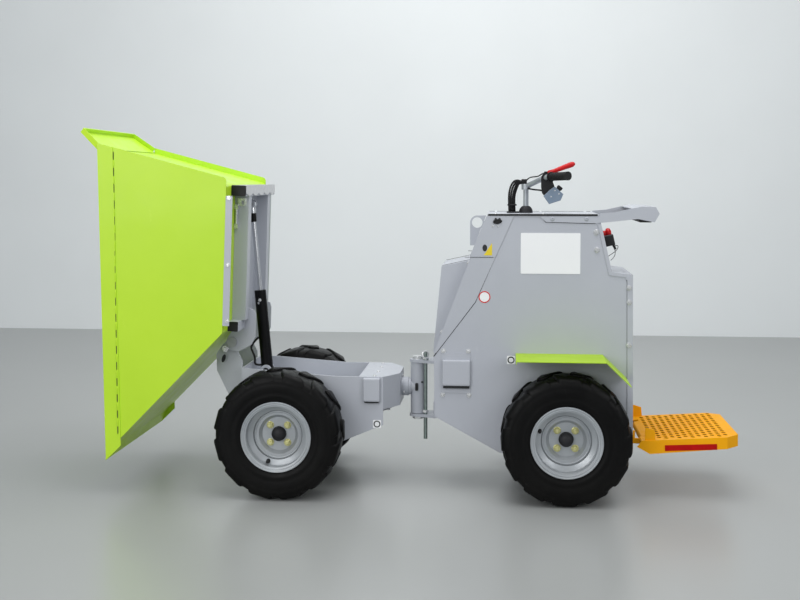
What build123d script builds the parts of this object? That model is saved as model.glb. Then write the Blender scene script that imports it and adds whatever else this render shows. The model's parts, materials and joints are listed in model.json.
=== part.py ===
from build123d import *
from math import atan2, cos, hypot, radians, sin, tan
import os

os.makedirs("parts", exist_ok=True)

# Compact articulated site dumper, parked with its skip tipped forward.
# Millimetres. The front of the machine faces -X, +Z is up, and Z = 0 is the ground.
# X = 0 and Y = 0 lie at the middle of the machine's length and width.
# Points of the front frame are (x from the front axle, height above the ground), points of
# the rear body are (x from the steering pivot, height), and points of the skip and its tip
# frame are (u, v) from the tip hinge: u runs along the skip's floor and v up from it.

# Driving dimensions
wheelbase = 1155
front_axle_x = -514.5
steering_pivot_setback = 540
tyre_radius = 260
tyre_width = 200
bead_radius = 127
wheel_stud_circle = 100
wheel_stud_count = 4
skip_width = 770
skip_floor_length = 626
skip_depth = 533
tip_angle = 88
tip_hinge = (-235, 605)
cylinder_foot = (-118, 465)
chassis_width = 380
body_width = 410
body_height = 1149
step_width = 490
step_length = 369

# Sheet and plate gauges
chassis_plate = 8
arm_plate = 10
skip_sheet = 4
body_sheet = 4
cover_sheet = 3

# Clearances
seat_gap = 0.3
running_gap = 0.05
plate_gap = 3
wheel_side_gap = 15

# Positions worked out from the driving dimensions
track = body_width + tyre_width + 2 * wheel_side_gap
rim_flange_radius = bead_radius + 0.12 * (tyre_radius - bead_radius)
axle_z = tyre_radius
rear_axle_x = front_axle_x + wheelbase
pivot_x = front_axle_x + steering_pivot_setback
rear_axle_reach = wheelbase - steering_pivot_setback
chassis_half = chassis_width / 2
body_half = body_width / 2
skip_half = skip_width / 2

# Side-view planes: local x runs to the rear, local y is height, and the normal is -Y.
front_side = Plane(origin=(front_axle_x, 0, 0), x_dir=(1, 0, 0), z_dir=(0, -1, 0))
rear_side = Plane(origin=(pivot_x, 0, 0), x_dir=(1, 0, 0), z_dir=(0, -1, 0))
hinge_point = (front_axle_x + tip_hinge[0], 0, tip_hinge[1])
bed_side = Plane(
    origin=hinge_point,
    x_dir=(cos(radians(tip_angle)), 0, sin(radians(tip_angle))),
    z_dir=(0, -1, 0),
)


def finish(piece, name):
    """Label a finished piece and write it as one STEP file."""
    piece.part.label = name
    export_step(piece.part, f"parts/{name}.step")


# ---------------------------------------------------------------- wheels
# Wheel sections are (a, r): a runs outwards along the axle from the wheel's middle.
wheel_disc_face = 22
wheel_disc_gauge = 6
rim_half_width = 92
rim_gauge = 4
rim_well_radius = 105
hub_bore_radius = 20 + running_gap
hub_neck_radius = 34
hub_flange_radius = 66
hub_cap_radius = 28
stud_radius = 6
nut_radius = 11
nut_height = 12

wheel_table = [
    # name, axle x, side
    ("front_left", front_axle_x, -1),
    ("front_right", front_axle_x, 1),
    ("rear_left", rear_axle_x, -1),
    ("rear_right", rear_axle_x, 1),
]

for name, x, side in wheel_table:
    centre = (x, side * track / 2, axle_z)
    section = Plane(origin=centre, x_dir=(0, side, 0), z_dir=(1, 0, 0))
    spin = Axis(centre, (0, 1, 0))
    face = Plane(origin=centre, x_dir=(1, 0, 0), z_dir=(0, side, 0))
    half = tyre_width / 2
    bead = bead_radius + seat_gap
    sidewall_r = bead_radius + 0.47 * (tyre_radius - bead_radius)
    shoulder_r = 0.945 * tyre_radius
    tread_inner_r = 0.9 * tyre_radius

    with BuildPart() as tyre:
        with BuildSketch(section):
            with BuildLine():
                Line((half * 0.84, bead), (-half * 0.84, bead))
                ThreePointArc((-half * 0.84, bead), (-half, sidewall_r), (-half * 0.9, shoulder_r))
                TangentArc((-half * 0.66, tyre_radius), (-half * 0.9, shoulder_r), tangent=(-1, 0))
                Line((-half * 0.66, tyre_radius), (half * 0.66, tyre_radius))
                TangentArc((half * 0.66, tyre_radius), (half * 0.9, shoulder_r), tangent=(1, 0))
                ThreePointArc((half * 0.9, shoulder_r), (half, sidewall_r), (half * 0.84, bead))
            make_face()
            with BuildLine():
                Line((-half * 0.7, bead), (half * 0.7, bead))
                ThreePointArc((half * 0.7, bead), (half * 0.87, sidewall_r), (half * 0.74, tread_inner_r))
                Line((half * 0.74, tread_inner_r), (-half * 0.74, tread_inner_r))
                ThreePointArc((-half * 0.74, tread_inner_r), (-half * 0.87, sidewall_r), (-half * 0.7, bead))
            make_face(mode=Mode.SUBTRACT)
        revolve(axis=spin)
    finish(tyre, f"tyre_{name}")

    with BuildPart() as rim:
        with BuildSketch(section):
            with BuildLine():
                rim_line = Polyline(
                    (-rim_half_width, rim_flange_radius),
                    (-rim_half_width + 4, bead_radius),
                    (-55, bead_radius),
                    (-45, rim_well_radius),
                    (45, rim_well_radius),
                    (55, bead_radius),
                    (rim_half_width - 4, bead_radius),
                    (rim_half_width, rim_flange_radius),
                )
                offset(amount=rim_gauge, side=Side.RIGHT, kind=Kind.INTERSECTION, closed=True)
            make_face()
            with BuildLine():
                Polyline(
                    (wheel_disc_face - wheel_disc_gauge, hub_cap_radius + 2),
                    (wheel_disc_face, hub_cap_radius + 2),
                    (wheel_disc_face, 68),
                    (wheel_disc_face + 16, 80),
                    (wheel_disc_face + 16, rim_well_radius - rim_gauge / 2),
                    (wheel_disc_face + 10, rim_well_radius - rim_gauge / 2),
                    (wheel_disc_face + 10, 82),
                    (wheel_disc_face - wheel_disc_gauge, 70),
                    close=True,
                )
            make_face()
        revolve(axis=spin)
        with BuildSketch(face.offset(wheel_disc_face)):
            with PolarLocations(wheel_stud_circle / 2, wheel_stud_count, start_angle=45):
                Circle(stud_radius + 0.5)
        extrude(amount=-wheel_disc_gauge, mode=Mode.SUBTRACT)
    finish(rim, f"rim_{name}")

    flange_face = wheel_disc_face - wheel_disc_gauge
    with BuildPart() as hub:
        with BuildSketch(section):
            with BuildLine():
                Polyline(
                    (-half + 20, hub_bore_radius),
                    (flange_face + 14, hub_bore_radius),
                    (flange_face + 14, 0),
                    (flange_face + 36, 0),
                )
                ThreePointArc(
                    (flange_face + 36, 0),
                    (flange_face + 31, 18),
                    (flange_face + 20, hub_cap_radius),
                )
                Polyline(
                    (flange_face + 20, hub_cap_radius),
                    (flange_face, hub_cap_radius),
                    (flange_face, hub_flange_radius),
                    (flange_face - 10, hub_flange_radius),
                    (flange_face - 10, hub_neck_radius),
                    (-half + 20, hub_neck_radius),
                    (-half + 20, hub_bore_radius),
                )
            make_face()
        revolve(axis=spin)
        with BuildSketch(face.offset(flange_face)):
            with PolarLocations(wheel_stud_circle / 2, wheel_stud_count, start_angle=45):
                Circle(stud_radius)
        extrude(amount=wheel_disc_gauge + nut_height + 4)
        with BuildSketch(face.offset(wheel_disc_face)):
            with PolarLocations(wheel_stud_circle / 2, wheel_stud_count, start_angle=45):
                RegularPolygon(nut_radius, 6)
        extrude(amount=nut_height)
    finish(hub, f"hub_{name}")

# ---------------------------------------------------------------- drive axles
# Each axle is a transaxle: a spindle at each end, a tube, a gear case and an electric motor.
spindle_radius = 20
axle_tube_radius = 32
axle_tube_end = track / 2 - tyre_width / 2 + 15
gear_case_radius = 78
motor_radius = 66
motor_offset = 135

axle_table = [
    # name, axle x, inner face of the plates that hold it
    ("front_axle", front_axle_x, chassis_half - chassis_plate),
    ("rear_axle", rear_axle_x, body_half - body_sheet),
]

for name, x, inner_face in axle_table:
    centre = (x, 0, axle_z)
    section = Plane(origin=centre, x_dir=(0, 1, 0), z_dir=(1, 0, 0))
    cross = Plane(origin=centre, x_dir=(1, 0, 0), z_dir=(0, -1, 0))
    spindle_end = track / 2 + wheel_disc_face - wheel_disc_gauge + 10
    with BuildPart() as axle:
        with BuildSketch(section):
            with BuildLine():
                Polyline(
                    (-spindle_end, 0),
                    (-spindle_end, spindle_radius),
                    (-axle_tube_end, spindle_radius),
                    (-axle_tube_end, axle_tube_radius),
                    (-80, axle_tube_radius),
                    (-52, gear_case_radius),
                    (20, gear_case_radius),
                    (48, axle_tube_radius),
                    (axle_tube_end, axle_tube_radius),
                    (axle_tube_end, spindle_radius),
                    (spindle_end, spindle_radius),
                    (spindle_end, 0),
                    close=True,
                )
            make_face()
        revolve(axis=Axis(centre, (0, 1, 0)))
        with BuildSketch(cross.offset(-20)):
            SlotCenterPoint((motor_offset / 2, 0), (motor_offset, 0), 2 * motor_radius - 8)
        extrude(amount=70)
        with BuildSketch(cross.offset(50)):
            with Locations((motor_offset, 0)):
                Circle(motor_radius)
        extrude(amount=-170)
        for side in (-1, 1):
            with BuildSketch(cross.offset(side * (inner_face - 5))):
                RectangleRounded(120, 100, 12)
            extrude(amount=5, both=True)
    finish(axle, name)

# ---------------------------------------------------------------- front frame
roll_axis_z = 401
roll_socket_radius = 40
roll_shaft_radius = 30
roll_socket_front = 440
roll_socket_rear = 500
tower_inner = 142
tower_outer = tower_inner + chassis_plate
deck_z = 400
frame_top_z = 471
frame_rear_x = 408
hinge_pin_radius = 15
hinge_boss_radius = 22
foot_pin_radius = 12
foot_ear_inner = 28
foot_ear_gauge = 8

socket_face = Plane(
    origin=(front_axle_x + roll_socket_front, 0, roll_axis_z),
    x_dir=(0, 1, 0),
    z_dir=(1, 0, 0),
)

with BuildPart() as front_chassis:
    with BuildSketch(front_side.offset(chassis_half - chassis_plate)):
        Polygon(
            (-188, 300),
            (-150, 200),
            (240, 200),
            (frame_rear_x, 270),
            (frame_rear_x, frame_top_z),
            (207, frame_top_z),
            (-188, 500),
            align=None,
        )
        with Locations((0, axle_z)):
            Circle(axle_tube_radius + seat_gap, mode=Mode.SUBTRACT)
    extrude(amount=chassis_plate)
    with BuildSketch(front_side.offset(tower_inner)):
        Polygon(
            (-305, 554),
            (-304, 483),
            (-259, 390),
            (-150, 250),
            (-100, 250),
            (-100, deck_z),
            (-175, 495),
            (-194, 495),
            (-194, 523),
            (-213, 561),
            (tip_hinge[0] + 21, tip_hinge[1] - 5),
            (tip_hinge[0] - 20, tip_hinge[1] + 8),
            (-280, 590),
            align=None,
        )
        with Locations(tip_hinge):
            Circle(hinge_boss_radius)
            Circle(hinge_pin_radius + running_gap, mode=Mode.SUBTRACT)
    extrude(amount=chassis_plate)
    with BuildSketch(front_side.offset(foot_ear_inner)):
        with Locations(cylinder_foot):
            Circle(24)
        Polygon(
            (cylinder_foot[0] - 40, deck_z),
            (cylinder_foot[0] + 40, deck_z),
            (cylinder_foot[0] + 24, cylinder_foot[1]),
            (cylinder_foot[0] - 24, cylinder_foot[1]),
            align=None,
        )
        with Locations(cylinder_foot):
            Circle(foot_pin_radius + running_gap, mode=Mode.SUBTRACT)
    extrude(amount=foot_ear_gauge)
    with BuildSketch(Plane.XY.offset(deck_z)):
        with Locations((front_axle_x + 110, 0)):
            Rectangle(596, chassis_width - 2)
    extrude(amount=-6)
    with BuildSketch(Plane.YZ.offset(front_axle_x - 188)):
        with Locations((0, 375)):
            Rectangle(chassis_width - 2, 250)
    extrude(amount=chassis_plate)
    with BuildSketch(Plane.XY.offset(frame_top_z)):
        Polygon(
            (front_axle_x + 307, -chassis_half),
            (front_axle_x + frame_rear_x, -chassis_half),
            (front_axle_x + 470, -85),
            (front_axle_x + 470, 85),
            (front_axle_x + frame_rear_x, chassis_half),
            (front_axle_x + 307, chassis_half),
            align=None,
        )
    extrude(amount=-6)
    with BuildSketch(Plane.XY.offset(335)):
        with BuildLine():
            Polyline(
                (front_axle_x + frame_rear_x - 8, -chassis_half),
                (front_axle_x + frame_rear_x, -chassis_half),
                (front_axle_x + 470, -85),
                (front_axle_x + 470, 85),
                (front_axle_x + frame_rear_x, chassis_half),
                (front_axle_x + frame_rear_x - 8, chassis_half),
                (front_axle_x + 462, 81),
                (front_axle_x + 462, -81),
                close=True,
            )
        make_face()
    extrude(amount=frame_top_z - 335)
    with BuildSketch(socket_face):
        Circle(roll_socket_radius)
    extrude(amount=roll_socket_rear - roll_socket_front)
    mirror(about=Plane.XZ)
    with BuildSketch(socket_face):
        Circle(roll_shaft_radius + running_gap)
    extrude(amount=roll_socket_rear - roll_socket_front, mode=Mode.SUBTRACT)
finish(front_chassis, "front_chassis")

with BuildPart() as front_box_cover:
    with BuildSketch(front_side.offset(chassis_half)):
        with Locations((361, 420)):
            RectangleRounded(72, 102, 4)
    extrude(amount=18)
    fillet(front_box_cover.faces().sort_by(Axis.Y)[0].edges(), 5)
finish(front_box_cover, "front_box_cover")

# ---------------------------------------------------------------- steering pivot
pivot_tube_radius = 32
pivot_tube_bottom = 289
pivot_tube_top = 506
kingpin_radius = 15
ear_gauge = 12
ear_gap = 2
bracket_plate_x = 82
bracket_plate_gauge = 10
bracket_plate_bottom = 318
bracket_plate_top = 560
lock_pin_at = (34, -30)
lock_pin_radius = 8

with BuildPart() as pivot_block:
    roll_section = Plane(origin=(pivot_x, 0, roll_axis_z), x_dir=(0, 1, 0), z_dir=(1, 0, 0))
    with BuildSketch(roll_section):
        Circle(roll_shaft_radius)
    extrude(amount=-(steering_pivot_setback - roll_socket_front + 12))
    with BuildSketch(roll_section.offset(roll_socket_rear - steering_pivot_setback + 0.5)):
        Circle(36)
    extrude(amount=10)
    with BuildSketch(roll_section.offset(roll_socket_front - steering_pivot_setback - 1)):
        RegularPolygon(42, 6)
    extrude(amount=-11)
    with BuildSketch(Plane.XY.offset(pivot_tube_bottom)):
        with Locations((pivot_x, 0)):
            Circle(pivot_tube_radius)
    extrude(amount=pivot_tube_top - pivot_tube_bottom)
    with BuildSketch(Plane.XY.offset(pivot_tube_bottom)):
        with Locations((pivot_x, 0)):
            Circle(kingpin_radius + running_gap)
    extrude(amount=pivot_tube_top - pivot_tube_bottom, mode=Mode.SUBTRACT)
finish(pivot_block, "pivot_block")

ear_table = [
    # underside height
    pivot_tube_top + ear_gap,
    pivot_tube_bottom - ear_gap - ear_gauge,
]

with BuildPart() as pivot_bracket:
    for underside in ear_table:
        with BuildSketch(Plane.XY.offset(underside)):
            with Locations((pivot_x, 0)):
                Circle(36)
            Polygon(
                (pivot_x, -36),
                (pivot_x + bracket_plate_x, -60),
                (pivot_x + bracket_plate_x, 60),
                (pivot_x, 36),
                align=None,
            )
            with Locations((pivot_x, 0)):
                Circle(kingpin_radius + running_gap, mode=Mode.SUBTRACT)
            with Locations((pivot_x + lock_pin_at[0], lock_pin_at[1])):
                Circle(lock_pin_radius + seat_gap, mode=Mode.SUBTRACT)
        extrude(amount=ear_gauge)
    with BuildSketch(Plane.YZ.offset(pivot_x + bracket_plate_x)):
        with Locations((0, (bracket_plate_bottom + bracket_plate_top) / 2)):
            Rectangle(body_width - 2 * body_sheet - 2 * seat_gap, bracket_plate_top - bracket_plate_bottom)
    extrude(amount=bracket_plate_gauge)
    # A web joins the lower ear to the plate, in front of the body's lower edge.
    with BuildSketch(rear_side):
        Polygon(
            (bracket_plate_x - 12, ear_table[1]),
            (bracket_plate_x - 1.5, ear_table[1]),
            (bracket_plate_x - 1.5, bracket_plate_bottom + 2),
            (bracket_plate_x, bracket_plate_bottom + 2),
            (bracket_plate_x, bracket_plate_bottom + 27),
            (bracket_plate_x - 12, bracket_plate_bottom + 27),
            align=None,
        )
    extrude(amount=60, both=True)
finish(pivot_bracket, "pivot_bracket")

with BuildPart() as kingpin:
    with BuildSketch(Plane.XY.offset(ear_table[1] - 14)):
        with Locations((pivot_x, 0)):
            Circle(kingpin_radius)
    extrude(amount=ear_table[0] - ear_table[1] + ear_gauge + 28)
    with BuildSketch(Plane.XY.offset(ear_table[0] + ear_gauge)):
        with Locations((pivot_x, 0)):
            Circle(25)
    extrude(amount=12)
    with BuildSketch(Plane.XY.offset(ear_table[1])):
        with Locations((pivot_x, 0)):
            RegularPolygon(24, 6)
    extrude(amount=-12)
finish(kingpin, "kingpin")

with BuildPart() as lock_pin:
    with BuildSketch(Plane.XY.offset(181)):
        with Locations((pivot_x + lock_pin_at[0], lock_pin_at[1])):
            Circle(lock_pin_radius)
    extrude(amount=370)
    with BuildSketch(Plane.XY.offset(ear_table[0] + ear_gauge)):
        with Locations((pivot_x + lock_pin_at[0], lock_pin_at[1])):
            Circle(13)
    extrude(amount=5)
    with BuildSketch(Plane.XZ.offset(-lock_pin_at[1] + 30)):
        with Locations((pivot_x + lock_pin_at[0], 551)):
            Circle(6)
    extrude(amount=-60)
finish(lock_pin, "lock_pin")

# ---------------------------------------------------------------- skip
# The skip is drawn in (u, v) from the tip hinge, as it lies when it is lowered.
floor_u = 66
floor_v = -10
rear_lean = 122
rim_drop = 65
side_overhang = 25
lip_base = (-424, 438)
lip_tip = (-476, 458)
floor_end_u = floor_u + skip_floor_length
rear_rim = (floor_end_u + rear_lean, floor_v + skip_depth)
rim_slope = rim_drop / (rear_rim[0] - lip_tip[0])
band_width = 64
band_gauge = 4
bend_radius = 18
skip_panel_half = skip_half - band_gauge
wall_top = (rear_rim[0] - side_overhang, rear_rim[1] - side_overhang * rim_slope)

with BuildPart() as skip_shell:
    # The tub is one folded sheet: lip, front slope, floor and rear wall.
    with BuildSketch(bed_side):
        with BuildLine():
            FilletPolyline(
                lip_tip,
                lip_base,
                (floor_u, floor_v),
                (floor_end_u - side_overhang, floor_v),
                wall_top,
                radius=bend_radius,
            )
            offset(amount=skip_sheet, side=Side.LEFT, kind=Kind.INTERSECTION, closed=True)
        make_face()
    extrude(amount=skip_panel_half, both=True)
    for side in (-1, 1):
        with BuildSketch(bed_side.offset(side * (skip_panel_half - skip_sheet / 2))):
            with BuildLine():
                FilletPolyline(
                    lip_tip,
                    lip_base,
                    (floor_u, floor_v),
                    (floor_end_u, floor_v),
                    rear_rim,
                    radius=bend_radius,
                )
                Line(rear_rim, lip_tip)
            make_face()
        extrude(amount=skip_sheet / 2, both=True)
finish(skip_shell, "skip_shell")

with BuildPart() as skip_rim_bands:
    for side in (-1, 1):
        with BuildSketch(bed_side.offset(side * (skip_panel_half + band_gauge / 2))):
            Polygon(
                rear_rim,
                lip_tip,
                (lip_tip[0] + band_width, lip_tip[1] - band_width * (1 - rim_slope)),
                (rear_rim[0] - band_width * rear_lean / skip_depth, rear_rim[1] - band_width),
                align=None,
            )
        extrude(amount=band_gauge / 2, both=True)
finish(skip_rim_bands, "skip_rim_bands")

# The spill guard is a flared sheet on the rear wall's top edge, with turned-down edges.
guard_reach = 69
guard_rise = 92
guard_taper = 60
guard_length = hypot(guard_reach, guard_rise)
guard_turn = atan2(guard_rise, guard_reach)
guard_foot_v = wall_top[1] + skip_sheet * cos(guard_turn) + seat_gap
edge_start = 9
edge_start_y = skip_panel_half - guard_taper * edge_start / guard_length
guard_plane = Plane(
    origin=bed_side.from_local_coords((wall_top[0], guard_foot_v, 0)),
    x_dir=bed_side.from_local_coords((cos(guard_turn), sin(guard_turn), 0)) - bed_side.origin,
    z_dir=bed_side.from_local_coords((-sin(guard_turn), cos(guard_turn), 0)) - bed_side.origin,
)

with BuildPart() as spill_guard:
    with BuildSketch(guard_plane):
        Polygon(
            (0, -skip_panel_half),
            (guard_length, -skip_panel_half + guard_taper),
            (guard_length, skip_panel_half - guard_taper),
            (0, skip_panel_half),
            align=None,
        )
    extrude(amount=-skip_sheet)
    with BuildSketch(guard_plane):
        with Locations((guard_length - 2, 0)):
            Rectangle(4, skip_width - 2 * guard_taper - 10)
        for side in (-1, 1):
            Polygon(
                (edge_start, side * edge_start_y),
                (guard_length, side * (skip_panel_half - guard_taper)),
                (guard_length, side * (skip_panel_half - guard_taper - skip_sheet)),
                (edge_start, side * (edge_start_y - skip_sheet)),
                align=None,
            )
    extrude(amount=-22)
finish(spill_guard, "spill_guard")

# An angle along each edge of the floor; one leg lies under the floor, the other hangs down.
angle_leg = 27
angle_gauge = 3
angle_front = floor_u + 31

with BuildPart() as floor_angles:
    with BuildSketch(bed_side.offset(skip_panel_half - angle_leg)):
        Polygon(
            (angle_front, floor_v - seat_gap),
            (floor_end_u - 2, floor_v - seat_gap),
            (floor_end_u - 2, floor_v - seat_gap - angle_gauge),
            (angle_front, floor_v - seat_gap - angle_gauge),
            align=None,
        )
    extrude(amount=angle_leg)
    with BuildSketch(bed_side.offset(skip_panel_half - angle_gauge)):
        Polygon(
            (angle_front, floor_v - seat_gap),
            (floor_end_u - 2, floor_v - seat_gap),
            (floor_end_u - 2, floor_v - seat_gap - angle_leg),
            (angle_front, floor_v - seat_gap - angle_leg),
            align=None,
        )
    extrude(amount=angle_gauge)
    mirror(about=Plane.XZ)
finish(floor_angles, "floor_angles")

# ---------------------------------------------------------------- tip frame
# Two hinge plates carry box tubes under the floor; the rear cross tube is full width.
arm_inner = tower_outer + plate_gap
arm_outer = arm_inner + arm_plate
frame_top_v = floor_v - seat_gap
cross_tube_end = 286
cap_gauge = 4
tube_wall = 4
side_tube_width = 55
side_tube_depth = 57
rod_eye = (580.5, -32.7)
rod_pin_radius = 10
rod_ear_inner = 16
rod_eye_radius = 16

cross_tubes = [
    # middle u, width along u, depth, inner end
    (floor_u + 17, 40, 42, arm_outer),
    (floor_u + 575, 44, 60, 0),
]
side_tube_start = cross_tubes[0][0] + cross_tubes[0][1] / 2
side_tube_end = cross_tubes[1][0] - cross_tubes[1][1] / 2

with BuildPart() as tip_frame:
    with BuildSketch(bed_side.offset(arm_inner)):
        Polygon(
            (161, frame_top_v),
            (161, -51),
            (150, -63),
            (138, -92),
            (120, -98),
            (25, -98),
            (-7, -83),
            (-28, -49),
            (-40, -25),
            (-33, 13),
            (-15, 30),
            (18, 20),
            (floor_u, frame_top_v),
            align=None,
        )
        Circle(hinge_pin_radius + running_gap, mode=Mode.SUBTRACT)
    extrude(amount=arm_plate)
    for wall in (0, tube_wall):
        # The first pass adds the tube's outside, the second opens its inside.
        pass_mode = Mode.SUBTRACT if wall else Mode.ADD
        for u, width, depth, inner_end in cross_tubes:
            with BuildSketch(bed_side.offset(inner_end)):
                with Locations((u, frame_top_v - depth / 2)):
                    Rectangle(width - 2 * wall, depth - 2 * wall)
            extrude(amount=cross_tube_end - inner_end, mode=pass_mode)
        with BuildSketch(bed_side.offset(arm_outer + wall)):
            with Locations(((side_tube_start + side_tube_end) / 2, frame_top_v - side_tube_depth / 2)):
                Rectangle(side_tube_end - side_tube_start, side_tube_depth - 2 * wall)
        extrude(amount=side_tube_width - 2 * wall, mode=pass_mode)
    # A thin sheet closes the bay between the side tubes.
    with BuildSketch(bed_side):
        with Locations(((side_tube_start + side_tube_end) / 2, frame_top_v - 1.5)):
            Rectangle(side_tube_end - side_tube_start, 3)
    extrude(amount=arm_outer)
    # A cross plate under the sheet carries the ears for the ram's rod.
    with BuildSketch(bed_side.offset(rod_ear_inner)):
        with Locations((rod_eye[0], frame_top_v - 4)):
            Rectangle(76, 8)
    extrude(amount=arm_outer - rod_ear_inner)
    with BuildSketch(bed_side.offset(rod_ear_inner)):
        Polygon(
            (rod_eye[0] - 30, frame_top_v),
            (rod_eye[0] + 30, frame_top_v),
            (rod_eye[0] + 18, rod_eye[1]),
            (rod_eye[0] - 18, rod_eye[1]),
            align=None,
        )
        with Locations(rod_eye):
            Circle(18)
            Circle(rod_pin_radius + running_gap, mode=Mode.SUBTRACT)
    extrude(amount=8)
    mirror(about=Plane.XZ)
finish(tip_frame, "tip_frame")

with BuildPart() as tube_end_caps:
    for u, width, depth, inner_end in cross_tubes:
        with BuildSketch(bed_side.offset(cross_tube_end)):
            with Locations((u, frame_top_v - depth / 2)):
                RectangleRounded(width, depth, 4)
        extrude(amount=cap_gauge)
    mirror(about=Plane.XZ)
finish(tube_end_caps, "tube_end_caps")

pin_table = [
    # (u, v), pin radius, inner end, length, head radius, head start, head length
    ((0, 0), hinge_pin_radius, tower_inner - 8, arm_plate + plate_gap + chassis_plate + 14, 22, arm_outer, 8),
    ((0, 0), 20, tower_inner - plate_gap - 6, 6, 20, tower_inner - plate_gap - 6, 6),
    (rod_eye, rod_pin_radius, rod_ear_inner, 14, 11, rod_ear_inner + 8, 6),
]

with BuildPart() as tip_pins:
    for centre, radius, inner_end, length, head_radius, head_start, head_length in pin_table:
        with BuildSketch(bed_side.offset(inner_end)):
            with Locations(centre):
                Circle(radius)
        extrude(amount=length)
        with BuildSketch(bed_side.offset(head_start)):
            with Locations(centre):
                Circle(head_radius)
        extrude(amount=head_length)
    mirror(about=Plane.XZ)
finish(tip_pins, "tip_pins")

# A locking plate and its rod on the left side tube hold the skip when it is lowered.
latch_u = 593
latch_face = arm_outer + side_tube_width + seat_gap
latch_rod_end = bed_side.from_local_coords((latch_u - 13, -19, latch_face + 8))

with BuildPart() as skip_latch:
    with BuildSketch(bed_side.offset(latch_face)):
        Polygon(
            (latch_u - 16, -23),
            (latch_u + 16, -23),
            (latch_u + 16, -61),
            (latch_u - 9, -61),
            (latch_u - 16, -52),
            align=None,
        )
        with Locations((latch_u - 2, -44)):
            SlotOverall(18, 9, mode=Mode.SUBTRACT)
    extrude(amount=6)
    with BuildSketch(Plane(origin=latch_rod_end, z_dir=-bed_side.x_dir)):
        Circle(5)
    extrude(amount=95)
    for u in (latch_u - 100, latch_u - 20):
        with BuildSketch(bed_side.offset(latch_face)):
            with Locations((u, -19)):
                RectangleRounded(20, 16, 4)
        extrude(amount=14)
finish(skip_latch, "skip_latch")

# ---------------------------------------------------------------- tipping ram
rod_eye_world = bed_side.from_local_coords((rod_eye[0], rod_eye[1], 0))
foot_world = front_side.from_local_coords((cylinder_foot[0], cylinder_foot[1], 0))
ram_line = rod_eye_world - foot_world
ram_length = ram_line.length
ram_side = Plane(origin=foot_world, x_dir=ram_line.normalized(), z_dir=(0, -1, 0))
ram_axis = Axis(foot_world, ram_line.normalized())
barrel_radius = 23
barrel_bore = 19
barrel_length = 345
rod_radius = 10
rod_inner_end = 300

with BuildPart() as ram_barrel:
    with BuildSketch(ram_side):
        with BuildLine():
            Polyline(
                (18, 0),
                (18, barrel_radius),
                (barrel_length, barrel_radius),
                (barrel_length, rod_radius + running_gap),
                (barrel_length - 25, rod_radius + running_gap),
                (barrel_length - 25, barrel_bore),
                (38, barrel_bore),
                (38, 0),
                close=True,
            )
        make_face()
    revolve(axis=ram_axis)
    with BuildSketch(ram_side):
        Circle(22)
    extrude(amount=foot_ear_inner - 3, both=True)
    with BuildSketch(ram_side):
        Circle(foot_pin_radius)
    extrude(amount=foot_ear_inner + foot_ear_gauge + 6, both=True)
finish(ram_barrel, "ram_barrel")

with BuildPart() as ram_rod:
    with BuildSketch(ram_side):
        with BuildLine():
            Polyline(
                (rod_inner_end, 0),
                (rod_inner_end, barrel_bore - running_gap),
                (rod_inner_end + 15, barrel_bore - running_gap),
                (rod_inner_end + 15, rod_radius),
                (ram_length - 40, rod_radius),
                (ram_length - 40, rod_radius + 4),
                (ram_length - 11, rod_radius + 4),
                (ram_length - 11, 0),
                close=True,
            )
        make_face()
    revolve(axis=ram_axis)
    with BuildSketch(ram_side):
        with Locations((ram_length, 0)):
            Circle(rod_eye_radius)
    extrude(amount=rod_ear_inner - 0.5, both=True)
finish(ram_rod, "ram_rod")

# ---------------------------------------------------------------- rear body
nose_half = 160
nose_front_top = (109, 932)
nose_rear_top = (228, 957)
brow_foot = (77, 564)
brow_knee = (247, 790)
brow_top = (406, body_height)
belly_z = axle_z - 93
belly_front = (81, belly_z + 148)
belly_low = (353, belly_z)
hood_top = (298, body_height)
hood_foot = (232, 990)
console_top = (rear_axle_reach + 133, body_height)
console_foot = (rear_axle_reach + 186, 916)
shelf_rear = (rear_axle_reach + 270, 905)
tail_low = (rear_axle_reach + 276, axle_z - 25)
belly_rear = (rear_axle_reach + 190, belly_z)
top_turn = 9
edge_inset = cover_sheet + seat_gap
console_lean = atan2(console_foot[0] - console_top[0], console_top[1] - console_foot[1])


def brow_x(z):
    """Distance behind the steering pivot of the sloping bulkhead's face at height z."""
    low, high = (brow_foot, brow_knee) if z < brow_knee[1] else (brow_knee, brow_top)
    return low[0] + (z - low[1]) * (high[0] - low[0]) / (high[1] - low[1])


def console_x(z):
    """Distance behind the steering pivot of the console panel's face at height z."""
    return console_top[0] + (console_top[1] - z) * tan(console_lean)


with BuildPart() as body_sides:
    with BuildSketch(rear_side.offset(body_half - body_sheet)):
        Polygon(
            belly_front,
            brow_foot,
            brow_knee,
            brow_top,
            console_top,
            console_foot,
            shelf_rear,
            tail_low,
            belly_rear,
            belly_low,
            align=None,
        )
        offset(amount=-edge_inset, kind=Kind.INTERSECTION, mode=Mode.REPLACE)
        # The top cover's rear edge turns down here.
        with Locations((console_top[0] + 20 - edge_inset, body_height)):
            Rectangle(40, 2 * (top_turn + seat_gap), mode=Mode.SUBTRACT)
        with Locations((rear_axle_reach, axle_z)):
            Circle(axle_tube_radius + seat_gap, mode=Mode.SUBTRACT)
    extrude(amount=body_sheet)
    mirror(about=Plane.XZ)
finish(body_sides, "body_sides")

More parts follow.
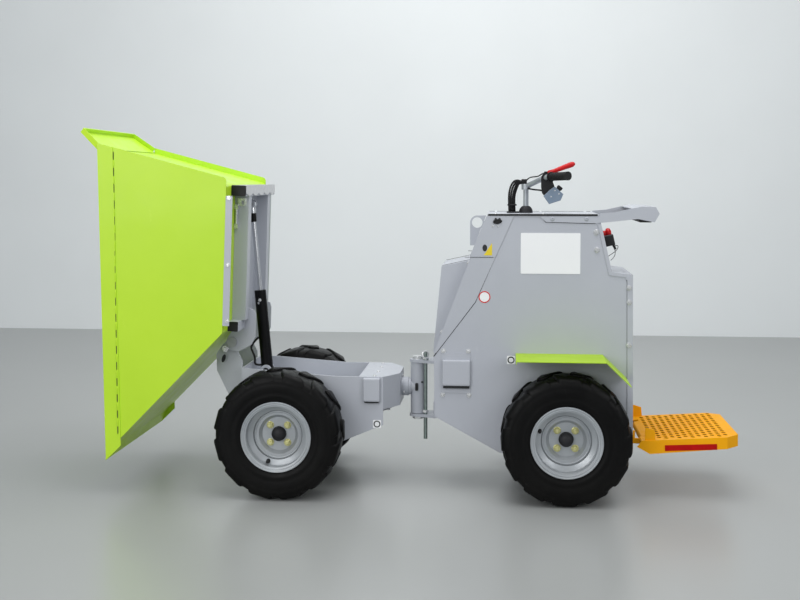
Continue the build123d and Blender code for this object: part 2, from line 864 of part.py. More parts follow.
# Folded pans close the body; their flanges lap over the outside of the body's sides.
# Each path follows the outer face, from front to rear or from top to bottom.
under_top = body_height - top_turn - seat_gap
shelf_slope = (shelf_rear[1] - console_foot[1]) / (shelf_rear[0] - console_foot[0])
shelf_split = (shelf_rear[0] - 26, shelf_rear[1] - 26 * shelf_slope)
console_end = (shelf_split[0] - seat_gap, shelf_split[1] - seat_gap * shelf_slope)
hoop_low_z = body_height - 38
cover_table = [
    # name, path of the sheet, path of its flanges, flange depth
    (
        "sloping_bulkhead",
        [brow_foot, brow_knee, (brow_x(under_top), under_top)],
        [],
        0,
    ),
    (
        "top_cover",
        [
            (hood_top[0] + 1, body_height - top_turn),
            (hood_top[0] + 1, body_height),
            (console_top[0], body_height),
            (console_top[0], body_height - top_turn),
        ],
        [(hood_top[0] + 1, body_height), (console_top[0], body_height)],
        top_turn,
    ),
    (
        "console_panel",
        [(console_x(under_top), under_top), console_foot, console_end],
        [(console_x(hoop_low_z), hoop_low_z), console_foot, console_end],
        14,
    ),
    (
        "rear_cover",
        [shelf_split, shelf_rear, tail_low],
        [shelf_split, shelf_rear, tail_low],
        23,
    ),
    (
        "belly_plate",
        [(tail_low[0] - 3, tail_low[1] - 3), belly_rear, belly_low, belly_front],
        [],
        0,
    ),
]

for name, path, flange_path, flange_depth in cover_table:
    with BuildPart() as cover:
        with BuildSketch(rear_side):
            with BuildLine():
                Polyline(*path)
                offset(amount=cover_sheet, side=Side.RIGHT, kind=Kind.INTERSECTION, closed=True)
            make_face()
        extrude(amount=body_half, both=True)
        if flange_path:
            for side in (-1, 1):
                with BuildSketch(rear_side.offset(side * (body_half + edge_inset / 2))):
                    with BuildLine():
                        Polyline(*flange_path)
                        offset(amount=cover_sheet, side=Side.RIGHT, kind=Kind.INTERSECTION, closed=True)
                    make_face()
                extrude(amount=edge_inset / 2, both=True)
                with BuildSketch(rear_side.offset(side * (body_half + seat_gap + cover_sheet / 2))):
                    with BuildLine():
                        Polyline(*flange_path)
                        offset(amount=flange_depth, side=Side.RIGHT, kind=Kind.INTERSECTION, closed=True)
                    make_face()
                extrude(amount=cover_sheet / 2, both=True)
    finish(cover, name)

nose_foot_z = 573
nose_outline = [
    (75, nose_foot_z),
    nose_front_top,
    nose_rear_top,
    (brow_x(nose_rear_top[1] - cover_sheet) - seat_gap, nose_rear_top[1]),
    (brow_knee[0] - 1.5 * seat_gap, brow_knee[1]),
    (brow_x(nose_foot_z) - 1.5 * seat_gap, nose_foot_z),
]

# The nose cover is a folded sheet with two cheeks, open towards the sloping bulkhead.
with BuildPart() as nose_cover:
    with BuildSketch(rear_side):
        with BuildLine():
            Polyline(nose_outline[-1], *nose_outline[:4])
            offset(amount=cover_sheet, side=Side.RIGHT, kind=Kind.INTERSECTION, closed=True)
        make_face()
    extrude(amount=nose_half, both=True)
    for side in (-1, 1):
        with BuildSketch(rear_side.offset(side * (nose_half - cover_sheet / 2))):
            Polygon(*nose_outline, align=None)
        extrude(amount=cover_sheet / 2, both=True)
finish(nose_cover, "nose_cover")

hood_wall_foot = (80, 577)
hood_wall_top = (223, 953)
hood_base_z = nose_rear_top[1] + 4 * seat_gap
cheek_seam_z = 973
cheek_lap = 3
hood_slope = (hood_top[0] - hood_foot[0]) / (hood_top[1] - hood_foot[1])
wall_slope = (hood_foot[0] - hood_wall_top[0]) / (hood_foot[1] - hood_wall_top[1])
hood_edge = (hood_top[0] - (top_turn + seat_gap) * hood_slope, under_top)
hood_base = (hood_foot[0] - (hood_foot[1] - hood_base_z) * wall_slope, hood_base_z)
cheek_seam = (hood_foot[0] - (hood_foot[1] - cheek_seam_z) * wall_slope, cheek_seam_z)
cheek_table = [
    # outline, outer face beyond the body's side
    (
        [
            hood_wall_foot,
            hood_wall_top,
            cheek_seam,
            (brow_x(cheek_seam_z) + cheek_lap, cheek_seam_z),
            (brow_knee[0] + cheek_lap, brow_knee[1]),
            (brow_x(hood_wall_foot[1]) + cheek_lap, hood_wall_foot[1]),
        ],
        edge_inset - 1,
    ),
    (
        [
            cheek_seam,
            hood_foot,
            hood_edge,
            (brow_x(under_top) + cheek_lap, under_top),
            (brow_x(cheek_seam_z) + cheek_lap, cheek_seam_z),
        ],
        edge_inset,
    ),
]

# The upper hood's front wraps into two cheeks that lap over the bulkhead's edges.
with BuildPart() as upper_hood:
    with BuildSketch(rear_side):
        with BuildLine():
            Polyline(hood_base, hood_foot, hood_edge)
            offset(amount=cover_sheet, side=Side.RIGHT, kind=Kind.INTERSECTION, closed=True)
        make_face()
    extrude(amount=body_half + edge_inset)
    with BuildSketch(rear_side.offset(nose_half + seat_gap)):
        with BuildLine():
            Polyline(hood_wall_foot, hood_wall_top, hood_foot)
            offset(amount=cover_sheet, side=Side.RIGHT, kind=Kind.INTERSECTION, closed=True)
        make_face()
    extrude(amount=body_half + edge_inset - 1 - nose_half - seat_gap)
    for outline, outer_face in cheek_table:
        with BuildSketch(rear_side.offset(body_half + seat_gap)):
            Polygon(*outline, align=None)
        extrude(amount=outer_face - seat_gap)
    mirror(about=Plane.XZ)
finish(upper_hood, "upper_hood")

eye_hole_radius = 22.5
eye_radius = 30
eye_centre = (hood_foot[0] + 19.5, 1107)
eye_plate = 12

with BuildPart() as lifting_eye:
    with BuildSketch(rear_side):
        Polygon(
            (eye_centre[0] - eye_radius, eye_centre[1]),
            (eye_centre[0] - eye_radius, hood_foot[1] + 20),
            (hood_foot[0] + 8, hood_foot[1] + 20),
            (hood_top[0] - 9, 1137),
            (eye_centre[0], 1137),
            align=None,
        )
        with Locations(eye_centre):
            Circle(eye_radius)
            Circle(eye_hole_radius, mode=Mode.SUBTRACT)
        # The plate stops at the hood's sloping face.
        Polygon(
            (hood_foot[0] - 0.6, hood_foot[1]),
            (hood_foot[0] + 200, hood_foot[1]),
            (hood_top[0] + 100, body_height),
            (hood_top[0] - 0.6, body_height),
            align=None,
            mode=Mode.SUBTRACT,
        )
    extrude(amount=eye_plate / 2, both=True)
finish(lifting_eye, "lifting_eye")

with BuildPart() as battery_pack:
    with BuildSketch(Plane.XY.offset(480)):
        with Locations((rear_axle_x - 80, 0)):
            Rectangle(420, 2 * (body_half - body_sheet - seat_gap))
    extrude(amount=300)
finish(battery_pack, "battery_pack")

# ---------------------------------------------------------------- mudguards
mudguard_z = 2 * axle_z + 60
mudguard_y = track / 2 + tyre_width / 2

with BuildPart() as mudguards:
    with BuildSketch(rear_side.offset(body_half)):
        with BuildLine():
            Polyline(
                (rear_axle_reach - 200, mudguard_z - 12),
                (rear_axle_reach - 200, mudguard_z),
                (rear_axle_reach + 151, mudguard_z),
                (rear_axle_reach + 247, mudguard_z - 93),
            )
            offset(amount=cover_sheet, side=Side.RIGHT, kind=Kind.INTERSECTION, closed=True)
        make_face()
    extrude(amount=mudguard_y - body_half)
    mirror(about=Plane.XZ)
finish(mudguards, "mudguards")

with BuildPart() as side_box_cover:
    with BuildSketch(rear_side.offset(body_half)):
        with Locations((171, 495)):
            RectangleRounded(120, 164, 5)
    extrude(amount=18)
    fillet(side_box_cover.faces().sort_by(Axis.Y)[0].edges(), 5)
finish(side_box_cover, "side_box_cover")

with BuildPart() as label_plates:
    with BuildSketch(rear_side.offset(body_half)):
        with Locations((567, 990)):
            RectangleRounded(212, 166, 5)
    extrude(amount=1)
    mirror(about=Plane.XZ)
finish(label_plates, "label_plates")

# ---------------------------------------------------------------- guard hoop
# A plate arm on each side of the body and a curved rest between their rear ends.
hoop_gauge = 4
hoop_x = rear_axle_reach
hoop_z = body_height
rest_path = [
    (hoop_x + 263, hoop_z + 24),
    (hoop_x + 302, hoop_z + 32),
    (hoop_x + 358, hoop_z + 30),
    (hoop_x + 373, hoop_z + 3),
    (hoop_x + 354, hoop_z - 31),
]

with BuildPart() as guard_hoop:
    with BuildSketch(rear_side.offset(body_half)):
        Polygon(
            (hoop_x - 104, hoop_z - 10),
            (hoop_x - 80, hoop_z - 31),
            (hoop_x + 120, hoop_z - 36),
            (hoop_x + 136, hoop_z - 34),
            (hoop_x + 200, hoop_z - 28),
            (hoop_x + 287, hoop_z - 18),
            (hoop_x + 327, hoop_z - 26),
            *reversed(rest_path),
            (hoop_x + 195, hoop_z + 9),
            (hoop_x + 136, hoop_z + 4),
            (hoop_x + 134, hoop_z - 10),
            align=None,
        )
    extrude(amount=hoop_gauge)
    with BuildSketch(rear_side):
        with BuildLine():
            Polyline(*rest_path)
            offset(amount=hoop_gauge, side=Side.RIGHT, kind=Kind.INTERSECTION, closed=True)
        make_face()
    extrude(amount=body_half)
    mirror(about=Plane.XZ)
finish(guard_hoop, "guard_hoop")

with BuildPart() as guard_pad:
    with BuildSketch(rear_side):
        with Locations((hoop_x + 318, hoop_z - 22)):
            RectangleRounded(54, 20, 8)
    extrude(amount=body_half - seat_gap, both=True)
finish(guard_pad, "guard_pad")

# ---------------------------------------------------------------- controls
stop_button_z = 1063
stop_button_y = 98
stop_housing_z = 1036
stop_housing_y = 142
post_x = 457
post_radius = 11
bar_radius = 11


def console_face(z, y):
    """Plane on the leaning console panel at height z, to the left of the middle by y."""
    return Plane(
        origin=rear_side.from_local_coords((console_x(z), z, y)),
        x_dir=(0, 1, 0),
        z_dir=(cos(console_lean), 0, sin(console_lean)),
    )


stop_face = console_face(stop_button_z, stop_button_y)
housing_face = console_face(stop_housing_z, stop_housing_y)

with BuildPart() as stop_button:
    with BuildSketch(stop_face.offset(seat_gap)):
        Circle(11)
    extrude(amount=14)
    with BuildSketch(stop_face.offset(14)):
        Circle(18)
    extrude(amount=20)
    fillet(stop_button.faces().sort_by(Axis.X)[-1].edges(), 6)
finish(stop_button, "stop_button")

with BuildPart() as stop_housing:
    with BuildSketch(housing_face.offset(seat_gap)):
        RectangleRounded(42, 44, 5)
    extrude(amount=40)
    with BuildSketch(Plane(origin=housing_face.from_local_coords((0, -14, 32)), z_dir=(0.45, 0, -0.9))):
        Circle(5)
    extrude(amount=28)
finish(stop_housing, "stop_housing")

post_centre = (pivot_x + post_x, 0)
dome_radius = 29
dome_height = 29

with BuildPart() as post_bearing:
    with BuildSketch(Plane(origin=(*post_centre, body_height), x_dir=(1, 0, 0), z_dir=(0, -1, 0))):
        with BuildLine():
            Polyline(
                (post_radius + 3, dome_height),
                (post_radius + running_gap, dome_height),
                (post_radius + running_gap, 0),
                (dome_radius, 0),
                (dome_radius, 6),
            )
            ThreePointArc((dome_radius, 6), (24, 20), (post_radius + 3, dome_height))
        make_face()
    revolve(axis=Axis((*post_centre, body_height), (0, 0, 1)))
    with BuildSketch(Plane.XY.offset(body_height)):
        with Locations((pivot_x + post_x - 54, 0)):
            RectangleRounded(54, 62, 5)
    extrude(amount=6)
finish(post_bearing, "post_bearing")

bar_route = [
    # x behind the post, y, height above the body
    (0, 0, 111),
    (50, -55, 136),
    (85, -130, 151),
    (160, -240, 155),
]
bar_points = [Vector(pivot_x + post_x + x, y, body_height + z) for x, y, z in bar_route]
clamp_way = (bar_points[2] - bar_points[1]).normalized()
grip_way = (bar_points[3] - bar_points[2]).normalized()

with BuildPart() as handlebar:
    with BuildSketch(Plane.XY.offset(body_height + 1)):
        with Locations(post_centre):
            Circle(post_radius)
    extrude(amount=bar_route[0][2] - 1)
    with BuildLine() as bar_path:
        FilletPolyline(*bar_points, radius=30)
    with BuildSketch(Plane(origin=bar_path.wire() @ 0, z_dir=bar_path.wire() % 0)):
        Circle(bar_radius)
    sweep(path=bar_path.wire())
    with BuildSketch(Plane.XY.offset(body_height + 98)):
        with Locations(post_centre):
            Circle(19)
    extrude(amount=24)
    mirror(about=Plane.XZ)
finish(handlebar, "handlebar")

# Rubber grips with end knobs on the bar's ends, and the lever's clamp on the left side.
grip_start = bar_points[2] + grip_way * 22
grip_length = 118
clamp_face = 112
clamp_centre = bar_points[1] + clamp_way * 72

with BuildPart() as hand_grips:
    with BuildSketch(Plane(origin=grip_start, z_dir=grip_way)):
        Circle(16)
    extrude(amount=grip_length)
    with BuildSketch(Plane(origin=grip_start, z_dir=grip_way)):
        Circle(20)
    extrude(amount=6)
    with BuildSketch(Plane(origin=grip_start + grip_way * grip_length, z_dir=grip_way)):
        Circle(18)
    extrude(amount=-8)
    with BuildSketch(Plane(origin=grip_start, z_dir=grip_way)):
        Circle(bar_radius + running_gap)
    extrude(amount=grip_length - 5, mode=Mode.SUBTRACT)
    mirror(about=Plane.XZ)
finish(hand_grips, "hand_grips")

post_side = Plane(origin=(*post_centre, body_height), x_dir=(1, 0, 0), z_dir=(0, -1, 0))

with BuildPart() as lever_clamp:
    with BuildSketch(post_side.offset(clamp_face)):
        Polygon(
            (60, 110),
            (60, 152),
            (74, 174),
            (98, 174),
            (108, 160),
            (108, 130),
            (114.8, 112.5),
            (91.7, 95.6),
            (72, 75.2),
            (64, 84),
            align=None,
        )
    extrude(amount=12)
    with BuildSketch(Plane(origin=clamp_centre, z_dir=clamp_way)):
        Circle(bar_radius + seat_gap)
    extrude(amount=40, both=True, mode=Mode.SUBTRACT)
finish(lever_clamp, "lever_clamp")

with BuildPart() as brake_lever:
    with BuildSketch(post_side.offset(clamp_face + 12 + seat_gap)):
        Polygon(
            (86, 168),
            (100, 162),
            (116, 166),
            (184, 196),
            (196, 195),
            (198, 201),
            (186, 206),
            (176, 206),
            (112, 176),
            (92, 176),
            align=None,
        )
    extrude(amount=14)
finish(brake_lever, "brake_lever")

with BuildPart() as control_box:
    with BuildSketch(post_side.offset(90)):
        Polygon(
            (70, 72),
            (93, 40),
            (139, 55),
            (150, 81),
            (115, 112),
            (92, 95),
            align=None,
        )
    extrude(amount=60)
    fillet(control_box.faces().sort_by(Axis.Y)[0].edges(), 3)
finish(control_box, "control_box")

# Four control leads rise from the bearing's foot plate and end at a collar over the post.
loom_table = [
    # y, foot x, knee x, knee height, shoulder height
    (-9, -71, -77, 92, 142),
    (0, -63, -67, 88, 134),
    (9, -55, -59, 84, 130),
    (17, -47, -51, 80, 126),
]
collar_middle = (-8, 133)

with BuildPart() as control_loom:
    for y, foot_x, knee_x, knee_z, shoulder_z in loom_table:
        with BuildLine() as lead_path:
            FilletPolyline(
                post_side.from_local_coords((foot_x, 6 + seat_gap, -y)),
                post_side.from_local_coords((knee_x, knee_z, -y)),
                post_side.from_local_coords((knee_x + 28, shoulder_z, -y * 0.6)),
                post_side.from_local_coords((collar_middle[0], collar_middle[1], -y * 0.25)),
                radius=12,
            )
        with BuildSketch(Plane(origin=lead_path.wire() @ 0, z_dir=lead_path.wire() % 0)):
            Circle(3.5)
        sweep(path=lead_path.wire())
    with BuildSketch(Plane(origin=post_side.from_local_coords((*collar_middle, 0)), z_dir=(0, 0, 1))):
        Circle(11)
    extrude(amount=8, both=True)
finish(control_loom, "control_loom")

# ---------------------------------------------------------------- operator's step
# The step is a shallow tray whose skirt hangs from its edge; it folds up about its rod.
step_hinge = (tail_low[0] + 50, 222)
step_half = step_width / 2
step_corner = 50
step_gauge = 4
tread_front = -18
tread_notch = 12
tread_z = 16
tread_slope = 21 / 335
bracket_y = 150
tab_height = 68


def tread_height(x):
    """Height of the tread's top over the step's hinge, at x behind the hinge."""
    return tread_z + (x - tread_front) * tread_slope


step_side = Plane(
    origin=rear_side.from_local_coords((step_hinge[0], step_hinge[1], 0)),
    x_dir=(1, 0, 0),
    z_dir=(0, -1, 0),
)
corner_x = step_length - step_corner
tray_outline = [
    (-37, -9),
    (tread_front, tread_height(tread_front)),
    (step_length, tread_height(step_length)),
    (step_length, -7),
    (corner_x, -10),
    (14, -37),
]

with BuildPart() as step_brackets:
    for side in (-1, 1):
        with BuildSketch(step_side.offset(side * bracket_y)):
            Polygon(
                (-50 + seat_gap, -15),
                (-50 + seat_gap, 40),
                (-36, 36),
                (-36, 6),
                (9, 6),
                (9, -11),
                (-20, -16),
                align=None,
            )
            Circle(8 + running_gap, mode=Mode.SUBTRACT)
        extrude(amount=5, both=True)
finish(step_brackets, "step_brackets")

with BuildPart() as tray_inside:
    with BuildSketch(step_side):
        Polygon(
            (-60, -60),
            (-60, tread_height(-60) - step_gauge),
            (step_length, tread_height(step_length) - step_gauge),
            (step_length, -60),
            align=None,
        )
    extrude(amount=step_half, both=True)
    with BuildSketch(Plane(origin=(step_side.origin.X, 0, 0))):
        Polygon(
            (-60, -step_half + step_gauge),
            (corner_x - 2, -step_half + step_gauge),
            (step_length - step_gauge, -step_half + step_corner - 3),
            (step_length - step_gauge, step_half - step_corner + 3),
            (corner_x - 2, step_half - step_gauge),
            (-60, step_half - step_gauge),
            align=None,
        )
    extrude(amount=400, mode=Mode.INTERSECT)

with BuildPart() as step_platform:
    with BuildSketch(step_side):
        Polygon(*tray_outline, align=None)
    extrude(amount=step_half, both=True)
    with BuildSketch(Plane(origin=(step_side.origin.X, 0, 0))):
        Polygon(
            (-37, -step_half),
            (corner_x, -step_half),
            (step_length, -step_half + step_corner - 5),
            (step_length, step_half - step_corner + 5),
            (corner_x, step_half),
            (-37, step_half),
            align=None,
        )
    extrude(amount=400, mode=Mode.INTERSECT)
    add(tray_inside.part, mode=Mode.SUBTRACT)
    # The tread's front edge is cut back between the brackets.
    with BuildSketch(step_side):
        Polygon((-60, -60), (tread_notch, -60), (tread_notch, 60), (-60, 60), align=None)
    extrude(amount=bracket_y + 15, both=True, mode=Mode.SUBTRACT)
    for side in (-1, 1):
        with BuildSketch(step_side.offset(side * (bracket_y - 20))):
            Polygon(
                (-11, -11),
                (30, -24),
                (corner_x - 30, -8),
                (corner_x - 30, tread_height(corner_x - 30) - 2),
                (tread_notch, tread_height(tread_notch) - 2),
                (-11, 6),
                align=None,
            )
        extrude(amount=4, both=True)
        # An upright tab stands at each front corner of the tread.
        with BuildSketch(step_side.offset(side * (step_half - step_gauge - 5))):
            Polygon(
                (-5, 12),
                (-5, tab_height - 4),
                (-1, tab_height),
                (3, tab_height),
                (33, 59),
                (37, 14),
                align=None,
            )
        extrude(amount=3, both=True)
    with BuildSketch(step_side):
        Circle(8)
    extrude(amount=bracket_y + 20, both=True)
finish(step_platform, "step_platform")
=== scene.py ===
import json
import math
import bmesh
import bpy
from mathutils import Matrix, Vector


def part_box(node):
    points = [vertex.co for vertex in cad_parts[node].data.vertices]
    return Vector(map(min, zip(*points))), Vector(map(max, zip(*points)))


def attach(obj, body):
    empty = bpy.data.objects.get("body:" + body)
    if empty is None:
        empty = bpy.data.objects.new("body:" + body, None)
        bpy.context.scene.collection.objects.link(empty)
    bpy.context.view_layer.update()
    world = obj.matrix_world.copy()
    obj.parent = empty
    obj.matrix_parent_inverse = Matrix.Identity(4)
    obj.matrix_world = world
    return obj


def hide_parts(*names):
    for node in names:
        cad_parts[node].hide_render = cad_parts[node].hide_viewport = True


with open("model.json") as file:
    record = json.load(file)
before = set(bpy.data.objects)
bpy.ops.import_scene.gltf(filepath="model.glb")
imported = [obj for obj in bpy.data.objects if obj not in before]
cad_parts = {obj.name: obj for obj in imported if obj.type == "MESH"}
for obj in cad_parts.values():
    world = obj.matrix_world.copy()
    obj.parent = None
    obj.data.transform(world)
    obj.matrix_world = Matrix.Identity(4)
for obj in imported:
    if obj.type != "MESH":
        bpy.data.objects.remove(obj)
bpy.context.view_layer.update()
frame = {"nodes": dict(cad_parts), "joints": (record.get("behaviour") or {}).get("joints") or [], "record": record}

# %% [markdown]
# A few short helpers come first, because every later step needs them. They put a mesh, a lamp or
# a camera into the scene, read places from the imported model, and add nodes whose inputs are
# linked or set in one line. Writing those lines out each time would hide what differs.

# %% shared helpers
def placed(name, data):
    """Adds a mesh, a lamp or a camera to the scene as an object."""
    thing = bpy.data.objects.new(name, data)
    bpy.context.collection.objects.link(thing)
    return thing


def turned_to(direction):
    """Rotation of a lamp or a camera that looks along a direction."""
    return direction.to_track_quat("-Z", "Y").to_euler()


def middle(node_name):
    """Middle of a CAD node's box."""
    low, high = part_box(node_name)
    return (low + high) / 2


def joint_place(name):
    """Where a joint turns or slides."""
    return Vector(next(j["pos_m"] for j in frame["joints"] if j["name"] == name))


def plain_mesh(live):
    """The finished mesh of a live object, which is then taken away."""
    bpy.context.view_layer.update()
    graph = bpy.context.evaluated_depsgraph_get()
    mesh = bpy.data.meshes.new_from_object(live.evaluated_get(graph), depsgraph=graph)
    bpy.data.objects.remove(live)
    return mesh


def set_inputs(tree, node, inputs):
    """Links each input that is given a socket and sets each of the others."""
    for label, value in inputs.items():
        if isinstance(value, bpy.types.NodeSocket):
            tree.links.new(value, node.inputs[label])
        else:
            node.inputs[label].default_value = value


def add_node(tree, kind, inputs=None, **settings):
    """Adds a node with its settings and inputs."""
    node = tree.nodes.new(kind)
    for label, value in settings.items():
        setattr(node, label, value)
    set_inputs(tree, node, inputs or {})
    return node


def new_material(name):
    """A new material with its tree and its shader."""
    mat = bpy.data.materials.new(name)
    mat.use_nodes = True
    return mat, mat.node_tree, mat.node_tree.nodes["Principled BSDF"]


def noise_value(tree, scale, detail, rough=0.5, stretch=None):
    """The value of a noise on object coordinates, stretched if asked."""
    place = add_node(tree, "ShaderNodeTexCoord").outputs["Object"]
    if stretch:
        mapping = add_node(tree, "ShaderNodeMapping", {"Vector": place, "Scale": stretch})
        place = mapping.outputs["Vector"]
    noise = add_node(tree, "ShaderNodeTexNoise", {
        "Vector": place, "Scale": scale, "Detail": detail, "Roughness": rough})
    return noise.outputs["Fac"]

# %% [markdown]
# The camera is set early, because every finish is judged through it. The machine stands side on
# and is seen from a little above its wheels, from almost five metres away, so a fairly long lens
# keeps its wheels round. The camera could be aimed with a constraint, but a fixed direction is
# easier to read: it turns a few degrees to the left and dips a little.

# %% camera
lens_data = bpy.data.cameras.new("side_view")
lens_data.sensor_width, lens_data.lens = 36.0, 51.75
lens_data.shift_x, lens_data.shift_y = -0.0023125, -0.079375
camera = placed("side_view", lens_data)
yaw, dip = math.radians(5.22), math.radians(2.84)
behind_wheel, away, lens_height = 0.917, -4.9, 1.29
looking = Vector((-math.sin(yaw) * math.cos(dip), math.cos(yaw) * math.cos(dip), -math.sin(dip)))
camera.location = (middle("rim_front_left").x + behind_wheel, away, lens_height)
camera.rotation_euler = turned_to(looking)
bpy.context.scene.camera = camera
bpy.context.scene.view_settings.view_transform = "Standard"
print("camera at", tuple(round(v, 3) for v in camera.location))

# %% [markdown]
# The stage is a pale floor that meets a pale wall a few metres behind the machine. One mesh with
# a rounded corner would hide the join, but a workshop hall shows it, so floor and wall stay two
# planes. Their colour does the brightening, and the lamps stay at a plain level.

# %% stage
def stage_plane(name, corners, colour, rough):
    """A flat plane from four corners with a plain, slightly uneven finish."""
    mesh = bpy.data.meshes.new(name)
    mesh.from_pydata(corners, [], [(0, 1, 2, 3)])
    mat, tree, shader = new_material(name)
    clouds = noise_value(tree, scale=1.4, detail=6.0)
    ramp = add_node(tree, "ShaderNodeValToRGB", {"Fac": clouds})
    for stop, share in zip(ramp.color_ramp.elements, (0.93, 1.0)):
        stop.color = (*[c * share for c in colour], 1)
    set_inputs(tree, shader, {"Base Color": ramp.outputs["Color"], "Roughness": rough})
    mesh.materials.append(mat)
    placed(name, mesh)


half_length, front_y, wall_y, wall_top = 30, -14, 4.7, 20
stage_plane("floor", [(-half_length, front_y, 0), (half_length, front_y, 0),
                      (half_length, wall_y, 0), (-half_length, wall_y, 0)],
            (0.36, 0.37, 0.365), 0.3)
stage_plane("wall", [(-half_length, wall_y, 0), (half_length, wall_y, 0),
                     (half_length, wall_y, wall_top), (-half_length, wall_y, wall_top)],
            (0.86, 0.89, 0.9), 0.9)

# name, place, aim, size in metres, power in watts
for name, place, aim, size, power in (
        ("roof_lamp", (0.3, -0.8, 4.6), (0, 0, 0.4), 3.6, 118),
        ("front_lamp", (-2.2, -4.8, 2.2), (0, 0, 0.6), 2.6, 84),
        ("rear_lamp", (3.4, -3.4, 2.4), (0.4, 0, 0.6), 2.2, 40),
        ("wall_lamp", (0.0, 1.9, 4.6), (0.0, wall_y, 1.0), 4.0, 75)):
    light = bpy.data.lights.new(name, "AREA")
    light.shape, light.size, light.energy = "SQUARE", size, power
    lamp = placed(name, light)
    lamp.location = place
    lamp.rotation_euler = turned_to(Vector(aim) - Vector(place))

sky = bpy.data.worlds.new("hall_light")
sky.use_nodes = True
set_inputs(sky.node_tree, sky.node_tree.nodes["Background"], {
    "Color": (0.93, 0.97, 1.0, 1), "Strength": 0.5})
bpy.context.scene.world = sky
print("stage and four soft lamps are set")

# %% [markdown]
# Most surfaces here are sprayed paint on sheet steel. Such paint is never one flat colour: it
# drifts a little in tone, its gloss is uneven, the film has a fine orange-peel relief, dust
# settles low down and small scuffs show a paler tone. One function builds all of that from noise
# in object coordinates, and each paint only changes its numbers. Image textures could do the
# same, but noise has no seams and follows every sheet.

# %% paint recipe
# heights in metres between which dust thins out, how deep the relief is, how rough the coat is
dust_full, dust_end = 0.04, 0.55
relief_depth, coat_rough = 0.0006, 0.12


def ranged(tree, value, low, high, start=0.3, end=0.7):
    """Value mapped from start..end to low..high."""
    return add_node(tree, "ShaderNodeMapRange", {
        "Value": value, "From Min": start, "From Max": end,
        "To Min": low, "To Max": high}).outputs["Result"]


def blended(tree, amount, under, over):
    """Mix of two colours or sockets by amount."""
    under, over = ((*end, 1) if isinstance(end, tuple) else end for end in (under, over))
    mix = add_node(tree, "ShaderNodeMix", {0: amount, 6: under, 7: over}, data_type="RGBA")
    return mix.outputs[2]


def surface(name, shade, tone, rough, metal=0.0, blotch=3.0, grain=420.0, relief=0.12,
            dust=None, dust_top=0.5, scuff=None, coat=0.0, shine=0.5, stretch=None):
    """A finish that drifts from shade to tone, with uneven gloss, fine relief, dust and scuffs."""
    mat, tree, shader = new_material(name)
    drift = noise_value(tree, blotch, detail=5.0, rough=0.6, stretch=stretch)
    colour = blended(tree, ranged(tree, drift, 0, 1), shade, tone)
    if scuff:
        marks = noise_value(tree, 26.0, detail=9.0, rough=0.72, stretch=(1.0, 1.0, 0.35))
        marks = ranged(tree, marks, 0, 0.75, start=0.64, end=0.74)
        colour = blended(tree, marks, colour, scuff)
    if dust:
        place = add_node(tree, "ShaderNodeTexCoord").outputs["Object"]
        height = add_node(tree, "ShaderNodeSeparateXYZ", {"Vector": place}).outputs["Z"]
        patches = noise_value(tree, 7.0, detail=8.0, rough=0.65)
        haze = add_node(tree, "ShaderNodeMath", {
            0: ranged(tree, height, dust_end, dust_full, 0.0, dust_top),
            1: ranged(tree, patches, 0.2, 1.0)}, operation="MULTIPLY")
        colour = blended(tree, haze.outputs["Value"], colour, dust)
    bump = add_node(tree, "ShaderNodeBump", {
        "Strength": relief, "Distance": relief_depth,
        "Height": noise_value(tree, grain, detail=3.0)})
    gloss = noise_value(tree, blotch * 5, detail=6.0, rough=0.6)
    set_inputs(tree, shader, {
        "Base Color": colour, "Normal": bump.outputs["Normal"], "Metallic": metal,
        "Roughness": ranged(tree, gloss, *rough), "Specular IOR Level": shine})
    if coat:
        set_inputs(tree, shader, {"Coat Weight": coat, "Coat Roughness": coat_rough})
    return mat

